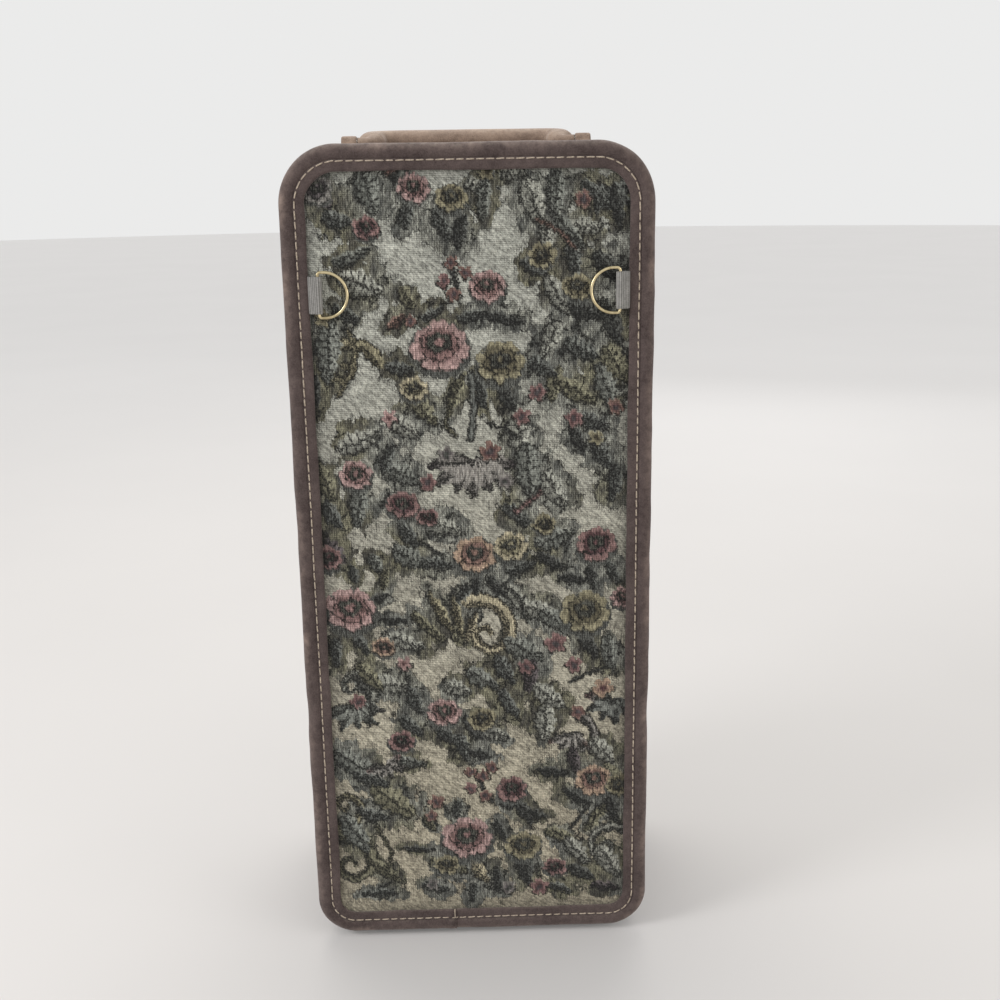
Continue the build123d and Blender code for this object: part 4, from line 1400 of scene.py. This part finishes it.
def makeLining(name, node, body, side):
    values = liningSet
    low, high = boxOf(node)
    floorY = low.y if side > 0 else high.y
    deep = high.y - low.y
    path = casePath(values["step"])
    corner, outer = values["corner"], values["inset"]
    inner = outer + values["thickness"]

    def bent(inset, depth, angles):
        bends = [(corner * (1 - math.cos(a)), corner * (1 - math.sin(a))) for a in angles]
        return [(inset + du, depth + dv) for du, dv in bends]

    wallDepths = np.linspace(corner, deep - 0.4, 9)
    reach = corner + values["under"]
    section = np.array([
        *((outer, d) for d in wallDepths[::-1]), *bent(outer, 0.0, np.linspace(0.2, 1.4, 5)),
        (outer + reach, 0.0), (inner + reach, 1.0), *bent(inner, 1.0, np.linspace(1.4, 0.2, 5)),
        *((inner, d) for d in wallDepths + 0.3), (outer + 0.5, deep),
    ])
    along, insets, depths = spreadSection(path, section)
    free = soft(2, 12, depths) * soft(0, 8, deep - depths) * (insets > outer + 0.6)
    insets = insets + free * values["wrinkle"] * (valueNoise(along / 7, depths / 22, 51) - 0.2)
    places = onPath(path, insets, floorY + side * depths)
    walls = sweepPiece(name, places, liningCloth, True, layOf(path, section))
    # floor of the tray
    rows, columns = values["floorRows"], values["floorRows"] // 2
    edge = outer + corner + 2
    half = caseForm["width"] / 2 - edge
    bottom, top = caseForm["floorGap"] + edge, caseForm["floorGap"] + caseForm["height"] - edge
    x, z = np.meshgrid(np.linspace(-half, half, columns), np.linspace(bottom, top, rows))
    far = np.minimum(half - np.abs(x), np.minimum(z - bottom, top - z))
    rise = values["wrinkle"] * soft(0, 14, far) * (valueNoise(x / 24, z / 30, 52) - 0.3)
    layers = [
        np.stack([x, floorY + side * (height + 0 * x), z], -1).reshape(-1, 3)
        for height in (values["floorTop"] + rise, values["floorBottom"])
    ]
    size, ring = rows * columns, gridEdge(rows, columns)
    faces = gridFaces(rows, columns)
    faces += [tuple(k + size for k in face) for face in faces]
    faces += [(a, b, b + size, a + size) for a, b in zip(ring, [*ring[1:], ring[0]])]
    points = np.concatenate(layers)
    lay = np.stack([points[:, 0], points[:, 2], 0 * points[:, 0]], 1)
    floor = makeObject(name + "Floor", points * mm, faces, liningCloth, lay=lay)
    with bpy.context.temp_override(active_object=walls, selected_editable_objects=[walls, floor]):
        bpy.ops.object.join()
    finishPiece(walls, body, "lining", node)


makeLining("caseLining", "case_lining", "case", 1)
makeLining("lidLining", "lid_lining", "lid", -1)
print("linings ready")


# Geometry Nodes for stitches and zip coil
def pointsAlong(tree, rail, pitch):
    # even points on the rail, turned to lie along it with Z outwards
    curve = outOf(tree, "GeometryNodeMeshToCurve", {"Mesh": rail})
    even = outOf(tree, "GeometryNodeResampleCurve", {"Curve": curve, "Length": pitch}, mode="LENGTH")
    tangent = outOf(tree, "GeometryNodeInputTangent", {})
    ahead = outOf(tree, "FunctionNodeAlignRotationToVector", {"Vector": tangent}, axis="X")
    facing = outOf(tree, "GeometryNodeInputNamedAttribute", {"Name": "facing"}, data_type="FLOAT_VECTOR")
    inputs = {"Rotation": ahead, "Vector": facing}
    return even, outOf(tree, "FunctionNodeAlignRotationToVector", inputs, axis="Z", pivot_axis="X")


def placeCopies(tree, shape, takes):
    # one copy on each point, each a little different
    def random(low, high, seed):
        inputs = {2: low, 3: high, "Seed": seed}
        return outOf(tree, "FunctionNodeRandomValue", inputs, 1, data_type="FLOAT")

    points, turn = pointsAlong(tree, takes["rail"], takes["pitch"])
    uneven, slant, seed = takes["uneven"], takes["slant"], takes["seed"]
    size = random(1.0 - uneven, uneven * 0.5 + 1.0, seed)
    twist = random(slant - uneven * 0.3, slant + uneven * 0.3, seed + 7)
    inputs = {"Points": points, "Instance": shape, "Rotation": turn, "Scale": joinXyz(size, 1.0, 1.0)}
    copies = outOf(tree, "GeometryNodeInstanceOnPoints", inputs)
    inputs = {"Instances": copies, "Rotation": joinXyz(0.0, 0.0, twist)}
    spun = outOf(tree, "GeometryNodeRotateInstances", inputs)
    real = outOf(tree, "GeometryNodeRealizeInstances", {0: spun})
    smooth = outOf(tree, "GeometryNodeSetShadeSmooth", {0: real})
    return outOf(tree, "GeometryNodeSetMaterial", {"Geometry": smooth, "Material": takes["finish"]})


def tubeAlong(tree, line, radius, sides):
    circle = outOf(tree, "GeometryNodeCurvePrimitiveCircle", {"Resolution": sides, "Radius": radius})
    inputs = {"Curve": line, "Profile Curve": circle, "Fill Caps": True}
    return outOf(tree, "GeometryNodeCurveToMesh", inputs)


def startRowGroup(name, *labels):
    takes = [("rail", "Geometry", None), *((label, "Float", 0.0) for label in labels)]
    takes += [("seed", "Int", 1), ("finish", "Material", None)]
    tree, flows, gives = startGroup("Geometry", name, takes, [("made", "Geometry")])
    tree.is_modifier = True
    return tree, flows, gives


def makeStitchTree():
    tree, takes, gives = startRowGroup(
        "stitchRow", "pitch", "length", "thread", "rise", "dip", "slant", "uneven",
    )
    half, under = takes["length"] * 0.5, takes["dip"] * -1.0
    inputs = {
        "Resolution": 7,
        "Start": joinXyz(half * -1.0, 0.0, under),
        "Start Handle": joinXyz(half * -0.75, 0.0, takes["rise"]),
        "End Handle": joinXyz(half * 0.75, 0.0, takes["rise"]),
        "End": joinXyz(half, 0.0, under),
    }
    line = outOf(tree, "GeometryNodeCurvePrimitiveBezierSegment", inputs, mode="POSITION")
    shape = tubeAlong(tree, line, takes["thread"], 6)
    feed(gives, {"made": placeCopies(tree, shape, takes)})
    return tree


def makeCoilTree():
    tree, takes, gives = startRowGroup(
        "coilRow", "pitch", "width", "height", "thread", "slant", "uneven",
    )
    circle = outOf(tree, "GeometryNodeCurvePrimitiveCircle", {"Resolution": 10, "Radius": 0.5})
    inputs = {
        "Geometry": circle,
        "Rotation": (0, math.pi / 2, 0),
        "Scale": joinXyz(takes["height"], takes["width"], 1.0),
    }
    shape = tubeAlong(tree, outOf(tree, "GeometryNodeTransform", inputs), takes["thread"], 5)
    feed(gives, {"made": placeCopies(tree, shape, takes)})
    return tree


stitchTree = makeStitchTree()
coilTree = makeCoilTree()


def growRow(name, rails, tree, values):
    # rails are point rows with the direction that each point faces
    edges, start = [], 0
    for places, facing, closed in rails:
        last = start + len(places) - 1
        edges += [(k, k + 1) for k in range(start, last)]
        if closed:
            edges.append((last, start))
        start = last + 1
    mesh = bpy.data.meshes.new(name + "Rail")
    mesh.from_pydata([tuple(p) for rail in rails for p in rail[0]], edges, [])
    addLayer(mesh, "facing", np.concatenate([rail[1] for rail in rails]))
    rail = addObject(name + "Rail", mesh)
    modifier = rail.modifiers.new("row", "NODES")
    modifier.node_group = tree
    for item in tree.interface.items_tree:
        if item.in_out == "INPUT" and item.name in values:
            modifier[item.identifier] = values[item.name]
    grown = rail.evaluated_get(bpy.context.evaluated_depsgraph_get())
    made = addObject(name, bpy.data.meshes.new_from_object(grown))
    bpy.data.objects.remove(rail)
    return made


rimStitch = {
    "pitch": 5.0 * mm, "length": 3.9 * mm, "thread": 0.36 * mm, "rise": 0.22 * mm,
    "dip": 0.45 * mm, "slant": 0.03, "uneven": 0.14, "finish": creamThread,
}
wallStitch = {
    "pitch": 3.6 * mm, "length": 2.6 * mm, "thread": 0.26 * mm, "rise": 0.20 * mm,
    "dip": 0.35 * mm, "slant": 0.02, "uneven": 0.12, "finish": tanThread,
}
coilRow = {
    "pitch": 1.6 * mm, "width": 2.7 * mm, "height": 1.75 * mm, "thread": 0.32 * mm,
    "slant": 0.14, "uneven": 0.0, "seed": 2, "finish": coilNylon,
}


def stitchRim(name, side, body, seed):
    path = casePath(2.5)
    wander = rimSet["stitchWander"] * (valueNoise(path["along"] / 30, seed, 61) - 0.5)[:, None]
    depth = side * (caseForm["frontY"] + rimSet["stitchDepth"])
    places = onPath(path, rimSet["stitchInset"] + wander, depth)[:, 0]
    facing = np.tile((0.0, -side, 0.0), (len(places), 1))
    # one stitch crosses the rim's joint
    aside, deep, up = rimSet["crossing"]
    x, z = caseForm["jointX"] + aside, caseForm["floorGap"] + up
    y = side * (caseForm["frontY"] + deep)
    crossing = np.array([(x, y, z), (x, y, z + rimSet["crossingLength"])]) * mm
    rails = [(places, facing, True), (crossing, facing[:2], False)]
    finishPiece(growRow(name, rails, stitchTree, {**rimStitch, "seed": seed}), body, "cord")


stitchRim("frontRimStitches", 1, "case", 4)
stitchRim("backRimStitches", -1, "lid", 8)


def stitchWall(name, depth, body, seed):
    path = casePath(2.5)
    places = onPath(path, wallSet["stitchInset"], depth)
    rails = [(places[:, 0], outwardFacing(path), True)]
    finishPiece(growRow(name, rails, stitchTree, {**wallStitch, "seed": seed}), body, "cord")


stitchWall("caseWallStitches", caseEdges[1] - wallSet["stitchDepth"], "case", 12)
stitchWall("lidWallStitches", lidEdges[0] + wallSet["stitchDepth"], "lid", 13)
coilSet = {"step": 1.6, "inset": 5.1, "fromSplit": 1.85}


def makeCoil(name, node, body, side, start):
    # the lid's row starts one point later, so the two rows interlock
    path = casePath(coilSet["step"])
    path = pickPath(path, insetX(path, 5.0) > boxOf(node)[0].x)
    path = {key: value[start:] for key, value in path.items()}
    depth = caseForm["splitY"] + side * coilSet["fromSplit"]
    places = onPath(path, coilSet["inset"], depth)
    coil = growRow(name, [(places[:, 0], outwardFacing(path), False)], coilTree, coilRow)
    finishPiece(coil, body, "zip_coil", node)


makeCoil("caseZipCoil", "case_zip_coil", "case", -1, 0)
makeCoil("lidZipCoil", "lid_zip_coil", "lid", 1, 1)
print("stitches and coils ready")


# Straps that wrap round a bar: ring tabs and handle chapes
def ribbon(name, line, width, axis, thickness, material, rounding, bulge, rib=None):
    # line has points in the plane across the axis; the strap is as wide as the axis runs
    normal, steps = sideways(line), distances(line)
    half, thick, edge = width / 2, thickness / 2, thickness * 0.22
    spots = np.linspace(-half + rounding, half - rounding, 13)
    section = np.array([
        *((s, thick) for s in spots), (half, edge), (half, -edge),
        *((s, -thick) for s in spots[::-1]), (-half, -edge), (-half, edge),
    ])
    crown = 1 + bulge * (1 - (section[:, 0] / half) ** 2)
    offset = section[:, 1][None, :] * crown[None, :]
    if rib is not None:
        pitch, depth = rib
        offset = offset * (1 + depth * np.cos(2 * math.pi * steps / pitch))[:, None]
    places = np.zeros((len(line), len(section), 3))
    lay = np.zeros_like(places)
    first, second = [k for k in range(3) if k != axis]
    places[:, :, first] = line[:, :1] + normal[:, :1] * offset
    places[:, :, second] = line[:, 1:] + normal[:, 1:] * offset
    places[:, :, axis] = section[None, :, 0]
    lay[:, :, 0] = steps[:, None]
    lay[:, :, 1] = section[None, :, 0]
    return sweepPiece(name, places * mm, material, False, lay)


def curveThrough(points, count):
    # smooth line through given points, evenly spaced
    points = np.asarray(points, float)
    lengths = distances(points)
    even = np.linspace(0, lengths[-1], count)
    made = np.stack([np.interp(even, lengths, points[:, k]) for k in range(points.shape[1])], 1)
    for turn in range(3):
        made[1:-1] = (made[:-2] + 2 * made[1:-1] + made[2:]) / 4
    return made


def moveMesh(mesh, axis, distance, mirror=False):
    co = np.zeros(len(mesh.vertices) * 3)
    mesh.vertices.foreach_get("co", co)
    co = co.reshape(-1, 3)
    co[:, axis] += distance * mm
    if mirror:
        co[:, 0] *= -1
    mesh.vertices.foreach_set("co", co.ravel())
    if mirror:
        mesh.flip_normals()


tabSet = {
    "height": 18.8,
    "thickness": 1.15,
    "wire": 0.8,          # radius of the ring's wire
    "slack": 0.11,        # room round the wire
    "rib": (0.95, 0.07),  # pitch and depth
    "cloth": 3.2,         # from the rim's front to the panel's cloth
}


def makeTab(side):
    name, values = "left" if side < 0 else "right", tabSet
    low, high = boxOf("ring_left")
    barX, barY = low.x + values["wire"], (low.y + high.y) / 2
    wrap = values["wire"] + values["slack"] + values["thickness"] / 2
    edgeX = caseForm["flange"] - caseForm["width"] / 2
    base = caseForm["frontY"] + values["cloth"]
    angles = np.linspace(math.radians(115), math.radians(-125), 22)
    line = curveThrough([
        (edgeX - 4.2, base + 0.15), (edgeX - 1.5, base + 0.12), (edgeX + 0.3, base),
        *((barX + wrap * math.cos(a), barY + wrap * math.sin(a)) for a in angles),
        (edgeX + 1.0, barY - 0.05), (edgeX + 0.1, base - 1.3),
        (edgeX - 1.8, base - 0.62), (edgeX - 4.2, base - 0.5),
    ], 90)
    size, thickness = values["height"], values["thickness"]
    pieceName = "ringTab" + name.capitalize()
    tab = ribbon(pieceName, line, size, 2, thickness, webbingCloth, 0.3, 0.06, values["rib"])
    moveMesh(tab.data, 2, (low.z + high.z) / 2, mirror=side > 0)
    finishPiece(tab, "case", "webbing", "ring_tab_" + name)


makeTab(-1)
makeTab(1)
chapeSet = {
    "width": 8.0,
    "strap": 1.45,
    "bar": 2.0,           # radius of the handle's bar
    "slack": 0.43,        # room round the bar
}


def makeChape(side):
    name = "left" if side < 0 else "right"
    low, high = boxOf("handle_chape_" + name)
    bar = boxOf("handle_bar")[0]
    barY, barZ = bar.y + chapeSet["bar"], bar.z + chapeSet["bar"]
    strap = chapeSet["strap"]
    reach = chapeSet["bar"] + chapeSet["slack"] + strap / 2
    tail, floor = low.y, low.z + strap / 2
    upper = floor + strap + 0.05
    angles = np.linspace(math.radians(-20), math.radians(250), 26)
    line = curveThrough([
        (tail, floor), (tail + 6, floor), (barY - 3.4, floor),
        *((barY + reach * math.sin(a), barZ - reach * math.cos(a)) for a in angles),
        (barY - 5.2, upper + 0.5), (tail + 6, upper), (tail, upper),
    ], 100)
    pieceName = "handleChape" + name.capitalize()
    # the chapes take the grip's lighter copy of the suede, painted light from above
    chape = ribbon(pieceName, line, chapeSet["width"], 0, strap, topLitGripSuede, 0.7, 0.16)
    moveMesh(chape.data, 0, (low.x + high.x) / 2)
    finishPiece(chape, "case", "suede", "handle_chape_" + name)


makeChape(-1)
makeChape(1)


# Padded grip over the handle's bar
gripSet = {
    "thick": 5.2,
    "wide": 7.0,
    "bend": 11.0,
    "neck": 3.1,          # radius where the suede runs out to the chapes
    "neckBend": 5.0,
    "overhang": 1.7,      # how far the ends run out towards the chapes
    "lift": 2.2,          # the lying grip rises this much away from its pivots
    "seam": 0.35,
}


def makeGrip(values):
    high = boxOf("handle_grip")[1]
    bar = boxOf("handle_bar")[0]
    pivotY, pivotZ = bar.y + chapeSet["bar"], bar.z + chapeSet["bar"]
    arm = high.x - values["wide"]
    far = high.y - values["wide"] - pivotY
    bend, neck = values["bend"], values["neckBend"]
    outer = arm + neck
    corner = arm - bend
    neckAngles, bendAngles = np.linspace(0, math.pi / 2, 9), np.linspace(0, math.pi / 2, 13)
    half = np.array([
        *((x, 0.0) for x in np.linspace(outer + values["overhang"], outer, 3)[:-1]),
        *((outer - neck * math.sin(a), neck - neck * math.cos(a)) for a in neckAngles),
        *((arm, reach) for reach in np.linspace(neck, far - bend, 9)[1:-1]),
        *((corner + bend * math.cos(a), far - bend + bend * math.sin(a)) for a in bendAngles),
        *((x, far) for x in np.linspace(corner, 0, 30)[1:]),
    ])
    line = np.concatenate([half * (-1, 1), half[-2::-1]])
    normal, steps = sideways(line), distances(line)
    angles = np.linspace(0, 2 * math.pi, 40, endpoint=False)
    cosine, sine = np.cos(angles), np.sin(angles)
    # squarish padded section with a seam ridge along the inner side
    end = np.minimum(steps, steps[-1] - steps)[:, None]
    full = soft(5.0, 15.0, end)
    power = 1 - 0.14 * full
    wide = values["neck"] + (values["wide"] - values["neck"]) * full
    thick = values["neck"] + (values["thick"] - values["neck"]) * full
    swell = 1 + 0.02 * (valueNoise(steps / 12, 3, 71)[:, None] - 1) * full
    crease = (valueNoise(steps / 3.2, 5, 72)[:, None] - 0.5) * np.exp(-((end - 22) / 9) ** 2)
    ridge = np.exp(-((angles - math.pi) / 0.16) ** 2)[None, :] * values["seam"] * full
    across = np.sign(cosine) * np.abs(cosine) ** power * wide * swell
    across = across + crease * 0.5 * (cosine < 0) - ridge * 0.6
    upward = np.sign(sine) * np.abs(sine) ** power * thick * swell * (1 + 0.02 * crease)
    reach = line[:, 1:] + normal[:, 1:] * across
    rise = pivotZ + values["lift"] / far * reach + upward
    places = np.stack([line[:, :1] + normal[:, :1] * across, pivotY + reach, rise], -1)
    lay = np.zeros_like(places)
    lay[:, :, 0] = steps[:, None]
    lay[:, :, 1] = angles[None, :] * values["thick"]
    # the upper half of the grip turns lighter, in patches
    lay[:, :, 2] = 0.5 * np.clip(sine, 0, 1)[None, :] * valueNoise(steps / 15, 9, 73)[:, None]
    # the lighter suede stands in for light from above
    grip = sweepPiece("handleGrip", places * mm, topLitGripSuede, False, lay)
    finishPiece(grip, "handle", "suede", "handle_grip")


makeGrip(gripSet)
print("straps and handle ready")


# CAD nodes that stay get their own finishes
nodeFinishes = [
    (paleBrass, "ring_left", "ring_right", "handle_rivets"),
    (agedBrass, "slider_left", "slider_right", "pull_left", "pull_right"),
    (plainSteel, "handle_bar", "handle_backing_plates", "foot_rivets"),
    (footPlastic, "foot_front_left", "foot_front_right", "foot_back_left", "foot_back_right"),
    (greyBoard, "front_panel_board", "back_panel_board", "case_band", "lid_band"),
    (cordFibre, "front_rim_cord", "back_rim_cord"),
]
for finish, *names in nodeFinishes:
    for name in names:
        for slot in nodes[name].material_slots:
            slot.material = finish
print("metal, board and feet finished")


# Floor and sky, each brighter to the camera than to the piece
def seenRays(tree):
    rays = addNode(tree, "ShaderNodeLightPath", {}).outputs
    camera, glossy = Flow(rays["Is Camera Ray"]), Flow(rays["Is Glossy Ray"])
    return calc("MAXIMUM", camera, calc("MAXIMUM", glossy, Flow(rays["Is Transmission Ray"])))


stageSet = {
    "rings": (0.35, 1.0, 3.0, 9.0),
    "cuts": 96,
    "floor": srgb(196, 193, 190),
    "glow": (0.2, 2.4, 0.10, 0.30),  # from and to which distance, and its strength there
    "glowTint": (1.0, 0.99, 0.975, 1),
    "room": (0.97, 0.98, 1.0, 1),
    "roomStrength": 0.70,
    "sight": (0.83, 0.83, 0.825, 1),
}


def makeStage(values):
    count, rings = values["cuts"], values["rings"]
    angles = np.linspace(0, 2 * math.pi, count, endpoint=False)
    points = [(0.0, 0.0, 0.0)]
    for radius in rings:
        points += [(radius * math.cos(a), radius * math.sin(a), 0.0) for a in angles]
    after = [*range(1, count), 0]
    faces = [(0, 1 + k, 1 + after[k]) for k in range(count)]
    for ring in range(len(rings) - 1):
        first, second = 1 + ring * count, 1 + (ring + 1) * count
        faces += [(first + k, second + k, second + after[k], first + after[k]) for k in range(count)]
    material, tree, shader = startMaterial("paleFloor")
    place = outOf(tree, "ShaderNodeTexCoord", {}, "Object")
    cloud = ramp(grainNoise(place, 3.0, 3.0), 0.2, 0.8, 0.97, 1.0)
    away = outOf(tree, "ShaderNodeVectorMath", {0: place}, "Value", operation="LENGTH")
    feed(shader, {
        "Base Color": shaded(values["floor"], cloud),
        "Roughness": 0.7,
        "Specular IOR Level": 0.2,
        "Emission Strength": seenRays(tree) * ramp(away, *values["glow"]),
        "Emission Color": values["glowTint"],
    })
    makeObject("paleFloor", points, faces, material, smooth=False)


def makeWorld(values):
    world = bpy.data.worlds.new("softRoom")
    bpy.context.scene.world = world
    world.use_nodes = True
    tree = world.node_tree
    tree.nodes.clear()
    inputs = {"Color": values["room"], "Strength": values["roomStrength"]}
    room = outOf(tree, "ShaderNodeBackground", inputs)
    sight = outOf(tree, "ShaderNodeBackground", {"Color": values["sight"], "Strength": 1.0})
    mixed = outOf(tree, "ShaderNodeMixShader", {0: seenRays(tree), 1: room, 2: sight})
    addNode(tree, "ShaderNodeOutputWorld", {0: mixed})


makeStage(stageSet)
makeWorld(stageSet)
addCamera(cameraSet)
addLamps(lampSet)
bpy.context.scene.view_settings.view_transform = "Standard"
print("stage, lamps and camera ready")
